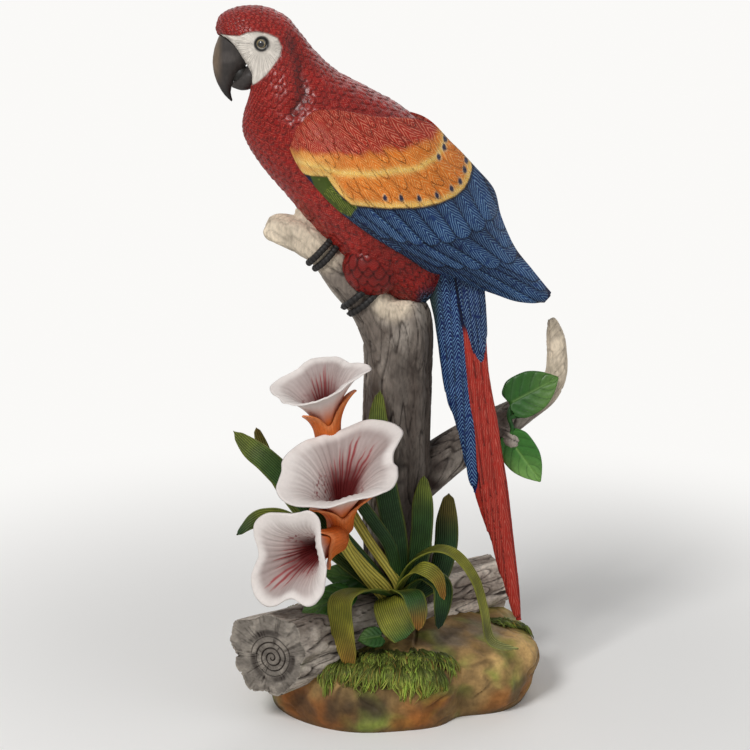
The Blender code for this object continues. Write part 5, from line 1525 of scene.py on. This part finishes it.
def petal_paint(lily, turn, share, points, seed):
    """Colours of the inner face: white, grey-pink painted shade on its wall, and veins that rise from a dark
    throat.
    """
    look = settings("flowers")
    gap = (turn - lily["veins"] + 180) % 360 - 180
    near = ease(110, 40, np.abs(gap))
    dice = np.random.default_rng(SEED + seed)
    streak = np.zeros(share.shape)
    for number in range(VEINS):
        at = lily["vein_spread"] * (number / (VEINS - 1) - 0.5) * 2 + dice.uniform(-3, 3)
        length = dice.uniform(0.84, 0.95) * (1 - 0.16 * abs(at) / lily["vein_spread"])
        width = 3.3 * np.clip(1.04 - (share / length) ** 3, 0.12, 1)
        line = np.exp(-(((gap - at - 3 * noise(points, 9, 3)) / width) ** 4))
        streak = np.maximum(streak, line * ease(length, length * 0.86, share) * ease(0.2, 0.35, share))
    fine = 0.5 + 0.5 * np.sin(np.radians(turn) * 62 + 1.5 * noise(points, 8, 6))
    # Painted shade on the inner wall, deepest on the side of the veins
    wall = ease(1.0, 0.86, share) * (0.12 + 0.7 * near)
    colour = mix(look.white, look.shade, wall)
    colour = mix(colour, look.blush, ease(0.88, 0.4, share) * (0.3 + 0.5 * near))
    colour = mix(colour, look.shade, 0.4 * fine * ease(0.25, 0.5, share) * ease(0.97, 0.75, share))
    throat = ease(0.68, 0.38, share - 0.08 * near - 0.03 * noise(points, 4, 9))
    colour = mix(colour, look.rose, 0.9 * streak)
    colour = mix(colour, look.throat, throat * (0.45 + 0.55 * near))
    spots = ease(0.24, 0.34, noise(points, 1.9, 19)) * ease(0.3, 0.4, share) * ease(0.72, 0.6, share)
    return mix(colour, np.array(look.rose) * 0.7, 0.85 * spots * (1 - 0.8 * near))


def make_lilies():
    look = settings("flowers")
    for seed, (label, lily) in enumerate(LILIES.items()):
        turn = np.arange(PETAL_SEGMENTS) / PETAL_SEGMENTS * 360
        up, down = np.linspace(0, 1, PETAL_OUTER), np.linspace(1, 0.03, PETAL_INNER)
        share = np.concatenate([up, down[1:]])[:, None]
        inner = (np.arange(len(share)) >= PETAL_OUTER)[:, None]
        turn, share = turn + 0 * share, share + 0 * turn
        rim_wall = PETAL_WALL * (1 - 0.5 * ease(0.8, 1.0, share))
        around = np.radians(turn)
        fold = noise(np.stack([np.cos(around) * 6, np.sin(around) * 6, share * 2], -1), 1.9, 3 + seed)
        ruffle = 0.9 * fold * ease(0.6, 1.0, share)
        groove = 0.20 * np.sin(around * 31 + 2 * fold) * ease(0.15, 0.5, share) * ease(1.0, 0.82, share)
        offset = np.where(inner, -rim_wall, 0.0) + ruffle + groove * inner
        rings = trumpet(lily, turn, share, offset)
        inside = petal_paint(lily, turn, share, rings, seed)
        outside = mix(look.orange, look.white, ease(0.3, 0.86, share + 0.05 * fold))
        # Painted shade on the outer face towards the rim
        outside = mix(outside, look.shade, 0.35 * ease(0.5, 0.9, share))
        colour = np.where(inner[..., None], inside, outside)
        colour = mix(colour, look.white, ease(0.86, 0.98, share))
        bloom = grid_piece(f"petals_{label}", rings, ground=colour)
        finish(bloom, "petal", "petal", f"lily_{label}_bloom")
        make_calyx(label, lily)
        make_stalk(label, lily)


def make_calyx(label, lily):
    """Three pointed sepals that hug the trumpet and turn out at their tips."""
    look = settings("flowers")
    turn = np.arange(150) / 150 * 360
    lobe = 0.5 + 0.5 * np.cos(np.radians(SEPALS * turn + 40))
    tip = 0.30 + 0.42 * lobe**1.3
    share = np.linspace(0, 1, 44)[:, None]
    out_share = share * tip
    turn_out = 3.0 * (share**4) * lobe**2
    wall = SEPAL_WALL * (1 - 0.5 * share**3)
    rib = 0.14 * np.cos(np.radians(turn * 36))
    turn_grid = turn + 0 * share
    outer = trumpet(lily, turn_grid, out_share, SLEEVE_GAP + wall + turn_out + rib)
    inner = trumpet(lily, turn_grid, out_share, SLEEVE_GAP + turn_out)[::-1]
    base, axis, _, _ = lily_frame(lily)
    root = trumpet(lily, turn, 0 * turn, 0 * turn) - axis * (SLEEVE_GAP + 2 * SEPAL_WALL)
    rise = axis * ((root - base) @ axis)[:, None]
    root_rings = [base + (root - base - rise) * part + rise for part in (0.5, 0.85, 1.0)]
    floor = inner[-1] - axis * SLEEVE_GAP
    rings = np.concatenate([np.array(root_rings), outer, inner, floor[None]])
    depth = np.concatenate([np.zeros((3, 1)), share, share[::-1], [[0]]]) + 0 * turn
    streak = 0.5 + 0.5 * np.sin(np.radians(turn * 24)) + 0 * depth
    colour = mix(np.array(look.orange) * 0.72, look.orange, ease(0.0, 0.5, depth))
    colour = mix(colour, glaze(232, 150, 96), ease(0.6, 1.0, depth) * 0.6)
    colour = mix(colour, np.array(look.orange) * 0.55, 0.25 * streak)
    calyx = grid_piece(f"sepals_{label}", rings, ground=colour)
    bpy.ops.object.shade_smooth_by_angle(angle=math.radians(60))
    finish(calyx, "sepal", "sepal", f"lily_{label}_calyx")


def make_stalk(label, lily):
    look = settings("flowers")
    base, axis, _, _ = lily_frame(lily)
    root = base - axis * SEPAL_WALL - CROWN
    table = [(*root, STEM_RADIUS * 1.3)] + [(*at, STEM_RADIUS) for at in STEM_ROUTES[label]]
    rows = spline(table, 90)
    rings = tube(np.column_stack([rows[:, :3] + CROWN, rows[:, 3], rows[:, 3]]), STEM_SEGMENTS)
    turn = turns(STEM_SEGMENTS)
    groove = np.cos(turn * 9)
    rings = rings + outward(rings) * (0.22 * groove - 0.1)[None, :, None]
    colour = mix(look.stalk, look.stalk_shade, ease(0.1, -0.9, groove) * 0.75)
    colour = np.broadcast_to(colour, rings.shape)
    length = np.linspace(0, 1, 90)[:, None] + 0 * turn
    colour = mix(colour, look.orange, 0.5 * ease(0.10, 0.0, length))
    colour = mix(colour, look.stalk_shade, 0.5 * ease(0.7, 1.0, length))
    stalk = grid_piece(f"stalk_{label}", rings, ground=colour)
    finish(stalk, "sepal", "stalk", f"lily_{label}_stem")


# Foliage

LEAF_THICKNESS = 1.8
LEAF_CHANNEL = 1.2
# Strap leaves: their colours at root, middle and tip, which way their width lies at the root,
# and from the crown outwards, in mm from the crown, x, y, z and width
STRAP_LEAVES = {
    "tall_left": (
        "deep leaf olive", (0.55, 0.35, 0.75),
        (0, 0, 8, 8), (-17, -4, 29, 11), (-36, -8, 51, 14), (-51, -10, 71, 16), (-72, -7, 92, 14),
        (-83, -3, 100, 12), (-93, 1, 109, 3),
    ),
    "brown": (
        "leaf olive brown", (0.6, 0.2, 0.75),
        (-4, 3, 9, 6), (-37, 5, 37, 8), (-60, 7, 65, 8), (-71, 9, 83, 8), (-77, 11, 98, 7),
        (-80, 11, 108, 3),
    ),
    "left_tip": (
        "deep olive deep", (0.3, 0.5, 0.8),
        (-6, 1, 9, 6), (-37, -3, 37, 8), (-60, -7, 57, 9), (-74, -11, 61, 9), (-83, -15, 58, 8),
        (-91, -17, 51, 3),
    ),
    "centre": (
        "deep deep olive", (1, 0, 0),
        (5, 0, 13, 10), (2, -2, 43, 14), (-2.5, -4, 68, 14), (-6.5, -4, 93, 13), (-8.5, -2, 117, 11),
        (-7.3, 0, 134, 3),
    ),
    "grey": (
        "leaf deep leaf", (1, 0, 0),
        (3, -1, 16, 7), (-1, -3, 38, 8), (-10, -4, 53, 8), (-18, -4, 65, 7), (-28, -3, 80, 3),
    ),
    "right": (
        "deep leaf olive", (1, 0, 0),
        (8, 0, 10, 9), (15, 1, 29, 13), (17.5, 1, 48, 13), (18, 2, 66, 12), (18.7, 3, 81, 3),
    ),
    "dark": (
        "deep deep brown", (1, 0, 0),
        (7, 3, 3, 9), (26, 13, 13, 12), (32, 19, 30, 14), (33, 23, 47, 13), (34, 25, 63, 5),
    ),
    "arching": (
        "leaf olive sage", (0.45, 0.85, 0.2),
        (4, -1, 10, 8), (9, -3, 24, 9), (16, -7, 34, 10), (27, -11, 40, 9), (38, -15, 37, 9),
        (48, -19, 24, 9), (53, -23, 7, 9), (56, -27, -9, 9), (63, -29, -14, 7), (74, -27, -16, 2),
    ),
    "short_curl": (
        "olive olive brown", (0.7, 0.5, 0.5),
        (4, -4, 12, 8), (9, -11, 23, 9), (17, -17, 30, 10), (26, -21, 26, 9), (30, -23, 13, 3),
    ),
    "front_left": (
        "leaf olive brown", (0.85, -0.5, 0.15),
        (-3, -4, 9, 9), (-13, -15, 16, 15), (-24, -25, 18, 17), (-30, -32, 14, 17), (-29, -35, -1, 16),
        (-26, -37, -16, 12), (-24, -38, -28, 3),
    ),
    "front_broad": (
        "olive olive leaf", (1, 0.1, 0.2),
        (-1, -5, 8, 9), (-2, -15, 7, 18), (2, -23, -1, 20), (8, -28, -9, 14),
    ),
    "front_folded": (
        "olive leaf brown", (1, 0, 0),
        (2, -5, 11, 8), (6, -15, 15, 13), (12, -23, 15, 13), (15, -29, 7, 11), (15, -31, -3, 3),
    ),
    "drooping": (
        "leaf leaf deep", (0.8, 0.4, 0.4),
        (8, -1, 9, 8), (20, -3, 20, 11), (29, -9, 17, 12), (29, -13, 5, 11), (27, -15, -8, 4),
    ),
}


def blade_rings(centre, across, face, half, channel, thickness, columns):
    """Rings round a leaf's section: over its upper face and back along its under face."""
    v, upper = there_and_back(-1, 1, columns, columns // 2)
    edge = np.sqrt(np.clip(1 - np.abs(v) ** 6, 0, 1))
    wall = np.where(upper, 0.5, -0.5) * edge
    line = centre[:, None] + across[:, None] * v[None, :, None] * half[:, None, None]
    rise = channel[:, None] * (v**2)[None] + wall[None] * thickness[:, None]
    return line + face[:, None] * rise[..., None], v, upper


def make_strap_leaves():
    look = settings("flowers")
    for name, (tones, sideways, *table) in STRAP_LEAVES.items():
        count = 40 + 12 * len(table)
        rows = spline(table, count)
        centre = rows[:, :3] + CROWN
        tangent = unit(np.gradient(centre, axis=0))
        hint = np.array(sideways, float)
        across = unit(hint - (tangent @ hint)[:, None] * tangent)
        face = -np.cross(across, tangent)
        t = np.linspace(0, 1, count)
        half = rows[:, 3] / 2 * (1 - 0.85 * ease(0.93, 1.0, t))
        thickness = LEAF_THICKNESS * (1 - 0.5 * t)
        wave = 0.35 * np.sin(t * 9 + len(name))
        channel = LEAF_CHANNEL * (1 - 0.5 * t) + wave
        rings, v, upper = blade_rings(centre, across, face, half, channel, thickness, 40)
        side = v[None] * half[:, None]
        rib = 0.10 * np.cos(side / LEAF_RIB_STEP * math.tau)
        rings = rings + face[:, None] * (rib * np.where(upper, 1, -1) * (np.abs(v) < 0.9))[..., None]
        root, middle, tip = (np.array(getattr(look, key)) for key in tones.split())
        along = t[:, None] + 0 * v
        colour = mix(mix(root, middle, ease(0.0, 0.5, along)), tip, ease(0.55, 1.0, along))
        light = 1.15 + 0.45 * noise(rings, 12, 3)
        colour = colour * light[..., None]
        colour = mix(colour, look.olive, 0.6 * ease(0.78, 1.0, np.abs(v) + 0 * along))
        colour = mix(colour, np.array(look.leaf) * 1.2, 0.5 * (~upper)[None] * np.ones((count, 1)))
        ribbed = np.broadcast_to(ease(1.0, 0.8, np.abs(v)), side.shape)
        leaf = grid_piece(f"blade_of_{name}", rings, ground=colour, rib=side, ribbed=ribbed)
        crown = ("leaf_crown",) if name == "front_broad" else ()
        finish(leaf, "leaf", "strap_leaf", f"strap_leaf_{name}", *crown)
    make_crown()


def make_crown():
    """The knob that the stalks and strap leaves grow from."""
    look = settings("flowers")
    rings = unit_ball(30, 48, 0.03) * (11.5, 8.5, 12.5) + CROWN
    colour = mix(look.deep, look.leaf, 0.5 + 0.5 * noise(rings, 6, 2))
    ribbed = np.ones(rings.shape[:2])
    rib = turns(48) * 8 * ribbed
    crown = grid_piece("crown_knob", rings, ground=colour, rib=rib, ribbed=ribbed)
    finish(crown, "leaf", "strap_leaf")


HEART_THICKNESS = 2.0
# For each leaf: its stalk end and its tip, the way it faces, its width in mm and how light it is.
# Heart leaves are placed from the trunk's top, and ground leaves from the crown.
HEART_LEAVES = {
    "heart_leaf_upper": ((69, 10, -66.5), (95, 13, -53), (-0.1, -1, 0.35), 26, 0.68),
    "heart_leaf_lower": ((67, 9, -91), (85, 7, -116), (-0.1, -1, 0.2), 22, 1.05),
    "ground_leaf_left": ((-28, -14, 13), (-53, -31, 7), (-0.2, -0.7, 0.7), 20, 0.7),
    "ground_leaf_round": ((-8, -28, -8), (-20, -36, -7), (0.1, -0.8, 0.6), 13, 0.45),
    "ground_leaf_dark": ((-14, 4, 15), (-42, 8, 20), (0.0, -0.9, 0.5), 18, 0.45),
}
# Share of the leaf's length, share of its half width
HEART_OUTLINE = ((0, 0.70), (0.12, 0.95), (0.30, 1.0), (0.52, 0.93), (0.72, 0.67), (0.88, 0.34), (1, 0.04))
HEART_LOBE = 0.17
# Points of a leaf's mesh over its upper and over its under face
HEART_UPPER = 57
HEART_UNDER = 26


def make_heart_leaves():
    look = settings("flowers")
    for name, (stalk, tip, facing, width, light) in HEART_LEAVES.items():
        anchor = np.array((0, 0, TRUNK_TOP)) if name.startswith("heart") else CROWN
        start = np.array(stalk) + anchor
        along = np.array(tip, float) - np.array(stalk)
        face = np.array(facing, float)
        face = unit(face - (face @ unit(along)) * unit(along))
        across = np.cross(unit(along), face)
        outline = spline(HEART_OUTLINE, 84)
        share, half = outline[:, 0], width / 2 * outline[:, 1]
        v, upper = there_and_back(-1, 1, HEART_UPPER, HEART_UNDER)
        lobe = HEART_LOBE * np.sin(math.pi * np.minimum(1, 0.75 * np.abs(v)))[None]
        reach = share[:, None] - lobe * (1 - share[:, None]) ** 2
        # Side veins sweep forward from the midrib
        sweep = reach * 4.4 - 1.5 * np.abs(v)[None] ** 1.2
        vein = 2 * np.abs(np.cos(sweep * math.pi)) ** 0.5 - 1
        midrib = np.exp(-((v[None] * half[:, None] / 0.7) ** 2))
        relief = 0.28 * vein * ease(0.05, 0.3, np.abs(v))[None] - 0.55 * midrib
        relief = relief * ease(1.0, 0.86, np.abs(v))[None]
        rise = 0.12 * half[:, None] * v[None] ** 2 + np.where(upper, relief, 0)
        edge = np.sqrt(np.clip(1 - np.abs(v) ** 8, 0, 1))
        wall = HEART_THICKNESS / 2 * edge * np.where(upper, 1, -1)
        rings = start + along * reach[..., None] + across * (v[None] * half[:, None])[..., None]
        rings = rings + face * (rise + wall[None])[..., None]
        colour = mix(look.heart, look.heart_light, 0.75 * ease(0.2, 1.0, share[:, None] + 0.25 * v[None]))
        colour = mix(colour, np.array(look.heart) * 0.4, 0.7 * ease(0.2, -0.9, vein))
        colour = mix(colour, look.heart_light, 0.6 * midrib)
        piece = grid_piece("face_of_" + name, rings, ground=colour * light)
        finish(piece, "heart", "heart_leaf", name)


# In mm from the trunk's top
VINE_ROUTES = (
    ((72, 12, -66), (67, 11.5, -71), (66, 10, -77), (68, 9.5, -84), (68, 9, -91), (69, 9, -97)),
    ((66, 10, -77), (71, 10, -76), (76, 11.5, -76), (82, 14, -73)),
)
VINE_RADIUS = 1.4


def make_vine():
    look = settings("flowers")
    runners = []
    for number, route in enumerate(VINE_ROUTES):
        rows = spline(route, 40)
        radius = VINE_RADIUS * (1 + 0.12 * np.sin(np.linspace(0, 22, 40)))
        rings = tube(np.column_stack([rows + (0, 0, TRUNK_TOP), radius, radius]), 20)
        colour = mix(look.deep, look.heart, 0.5 + 0.5 * noise(rings, 3, 4))
        runners.append(grid_piece(f"runner_{number}", rings, ground=colour))
    finish(join("vine_runner", runners), "sepal", "stalk", "vine_stem")


# Stage

# Fitted to the photograph: lens in mm, place in m, and degrees that it looks down
CAMERA_LENS = 122.0
CAMERA_AT = (-0.0142, -1.4489, 0.5862)
CAMERA_DOWN = 15
# The floor turns to plain white between these distances from the figure, in m
FLOOR_FADE = (0.16, 0.55)


def make_lamp(name, power, size, location, aim):
    data = bpy.data.lights.new(name, "AREA")
    data.energy = power
    data.size = size
    lamp = bpy.data.objects.new(name, data)
    lamp.location = location
    lamp.rotation_euler = (Vector(aim) - Vector(location)).to_track_quat("-Z", "Y").to_euler()
    bpy.context.scene.collection.objects.link(lamp)


def make_stage():
    look = settings("stage")
    scene = bpy.context.scene
    scene.view_settings.view_transform = "Standard"
    data = bpy.data.cameras.new("camera")
    data.lens = CAMERA_LENS
    camera = bpy.data.objects.new("camera", data)
    camera.location = CAMERA_AT
    camera.rotation_euler = (math.radians(90 - CAMERA_DOWN), 0, 0)
    scene.collection.objects.link(camera)
    scene.camera = camera

    middle = (0, 0, 0.2)
    make_lamp("key", look.key_power, 0.45, (-0.7, -1.2, 1.3), middle)
    make_lamp("fill", look.fill_power, 1.2, (1.2, -0.9, 0.7), middle)
    make_lamp("back", look.fill_power * 0.8, 1.0, (0.4, 1.1, 1.1), middle)

    world = bpy.data.worlds.new("studio")
    world.use_nodes = True
    scene.world = world
    tree = world.node_tree
    sky = tree.nodes["Background"]
    rays = tree.nodes.new("ShaderNodeLightPath")
    level = tree.nodes.new("ShaderNodeMapRange")
    level.inputs["To Min"].default_value = look.sky
    level.inputs["To Max"].default_value = 1.0
    sky.inputs["Color"].default_value = (1, 1, 1, 1)
    seen = rays.outputs["Is Camera Ray"]
    for kind in ("Is Glossy Ray", "Is Transmission Ray"):
        either = tree.nodes.new("ShaderNodeMath")
        either.operation = "MAXIMUM"
        tree.links.new(seen, either.inputs[0])
        tree.links.new(rays.outputs[kind], either.inputs[1])
        seen = either.outputs[0]
    tree.links.new(seen, level.inputs["Value"])
    tree.links.new(level.outputs["Result"], sky.inputs["Strength"])

    bpy.ops.object.select_all(action="DESELECT")
    bpy.ops.mesh.primitive_circle_add(vertices=96, radius=9, fill_type="NGON", location=(0, 0, 0))
    floor = bpy.context.object
    floor.name = "floor"
    bench = Bench("floor", 0.9, Specular_IOR_Level=0.1)
    bench.shader.inputs["Base Color"].default_value = (*look.floor, 1)
    white = [min(1, share * 1.04) for share in look.floor]
    glow = bench.add("Emission", {"Color": (*white, 1), "Strength": 1.0})
    distance = bench.add("VectorMath", {0: bench.place}, operation="LENGTH").outputs["Value"]
    far = bench.fit(distance, *FLOOR_FADE)
    camera_rays = bench.add("LightPath").outputs["Is Camera Ray"]
    blend = bench.add("MixShader", {0: bench.maths("MULTIPLY", far, camera_rays)})
    bench.tree.links.new(bench.shader.outputs[0], blend.inputs[1])
    bench.tree.links.new(glow.outputs[0], blend.inputs[2])
    output = bench.tree.nodes["Material Output"]
    bench.tree.links.new(blend.outputs[0], output.inputs["Surface"])
    floor.data.materials.append(bench.material)


# Operators and panel


class FIGURINE_OT_stage(bpy.types.Operator):
    """Adds the floor, the lamps and the camera"""

    bl_idname = "figurine.stage"
    bl_label = "Stage"

    def execute(self, context):
        make_stage()
        return {"FINISHED"}


class FIGURINE_OT_ground(bpy.types.Operator):
    """Models the painted rock and earth with its tufts of grass"""

    bl_idname = "figurine.ground"
    bl_label = "Ground"

    def execute(self, context):
        make_ground()
        make_grass()
        return {"FINISHED"}


class FIGURINE_OT_wood(bpy.types.Operator):
    """Models the stump, the side branch and the fallen log with their bark"""

    bl_idname = "figurine.wood"
    bl_label = "Wood"

    def execute(self, context):
        make_stump()
        make_side_branch()
        make_log()
        return {"FINISHED"}


class FIGURINE_OT_body(bpy.types.Operator):
    """Models the macaw's body, thighs, beak and eyes"""

    bl_idname = "figurine.body"
    bl_label = "Body"

    def execute(self, context):
        make_body()
        make_thighs()
        make_beak()
        make_gape_shade()
        make_eyes()
        return {"FINISHED"}


class FIGURINE_OT_wings(bpy.types.Operator):
    """Models both wings with their layers of feathers"""

    bl_idname = "figurine.wings"
    bl_label = "Wings"

    def execute(self, context):
        make_wings()
        return {"FINISHED"}


class FIGURINE_OT_tail(bpy.types.Operator):
    """Models the red, blue and covert feathers of the tail"""

    bl_idname = "figurine.tail"
    bl_label = "Tail"

    def execute(self, context):
        make_tail()
        return {"FINISHED"}


class FIGURINE_OT_feet(bpy.types.Operator):
    """Models the ringed toes and claws"""

    bl_idname = "figurine.feet"
    bl_label = "Feet"

    def execute(self, context):
        make_feet()
        return {"FINISHED"}


class FIGURINE_OT_lilies(bpy.types.Operator):
    """Models the three lilies with their sepals and stalks"""

    bl_idname = "figurine.lilies"
    bl_label = "Lilies"

    def execute(self, context):
        make_lilies()
        return {"FINISHED"}


class FIGURINE_OT_foliage(bpy.types.Operator):
    """Models the strap leaves, the heart-shaped leaves and the vine"""

    bl_idname = "figurine.foliage"
    bl_label = "Foliage"

    def execute(self, context):
        make_strap_leaves()
        make_heart_leaves()
        make_vine()
        return {"FINISHED"}


OPERATORS = (
    FIGURINE_OT_stage,
    FIGURINE_OT_ground,
    FIGURINE_OT_wood,
    FIGURINE_OT_body,
    FIGURINE_OT_wings,
    FIGURINE_OT_tail,
    FIGURINE_OT_feet,
    FIGURINE_OT_lilies,
    FIGURINE_OT_foliage,
)
SETTINGS = {
    "plumage": PlumageSettings,
    "wood": WoodSettings,
    "ground": GroundSettings,
    "flowers": FlowerSettings,
    "stage": StageSettings,
}


class FIGURINE_PT_panel(bpy.types.Panel):
    """Lists the figurine's pieces and their settings"""

    bl_idname = "FIGURINE_PT_panel"
    bl_label = "Macaw Figurine"
    bl_space_type = "VIEW_3D"
    bl_region_type = "UI"
    bl_category = "Figurine"

    def draw(self, context):
        for operator in OPERATORS:
            self.layout.operator(operator.bl_idname)
        for group, kind in SETTINGS.items():
            box = self.layout.box()
            box.label(text=group.capitalize())
            for key in kind.__annotations__:
                box.prop(settings(group), key)


def register():
    for kind in (*SETTINGS.values(), *OPERATORS, FIGURINE_PT_panel):
        bpy.utils.register_class(kind)
    for group, kind in SETTINGS.items():
        setattr(bpy.types.Scene, "macaw_" + group, PointerProperty(type=kind))


def unregister():
    for group in SETTINGS:
        delattr(bpy.types.Scene, "macaw_" + group)
    for kind in (FIGURINE_PT_panel, *reversed(OPERATORS), *SETTINGS.values()):
        bpy.utils.unregister_class(kind)


def main():
    register()
    for operator in OPERATORS:
        getattr(bpy.ops.figurine, operator.bl_idname.split(".")[1])()


if __name__ == "__main__":
    main()
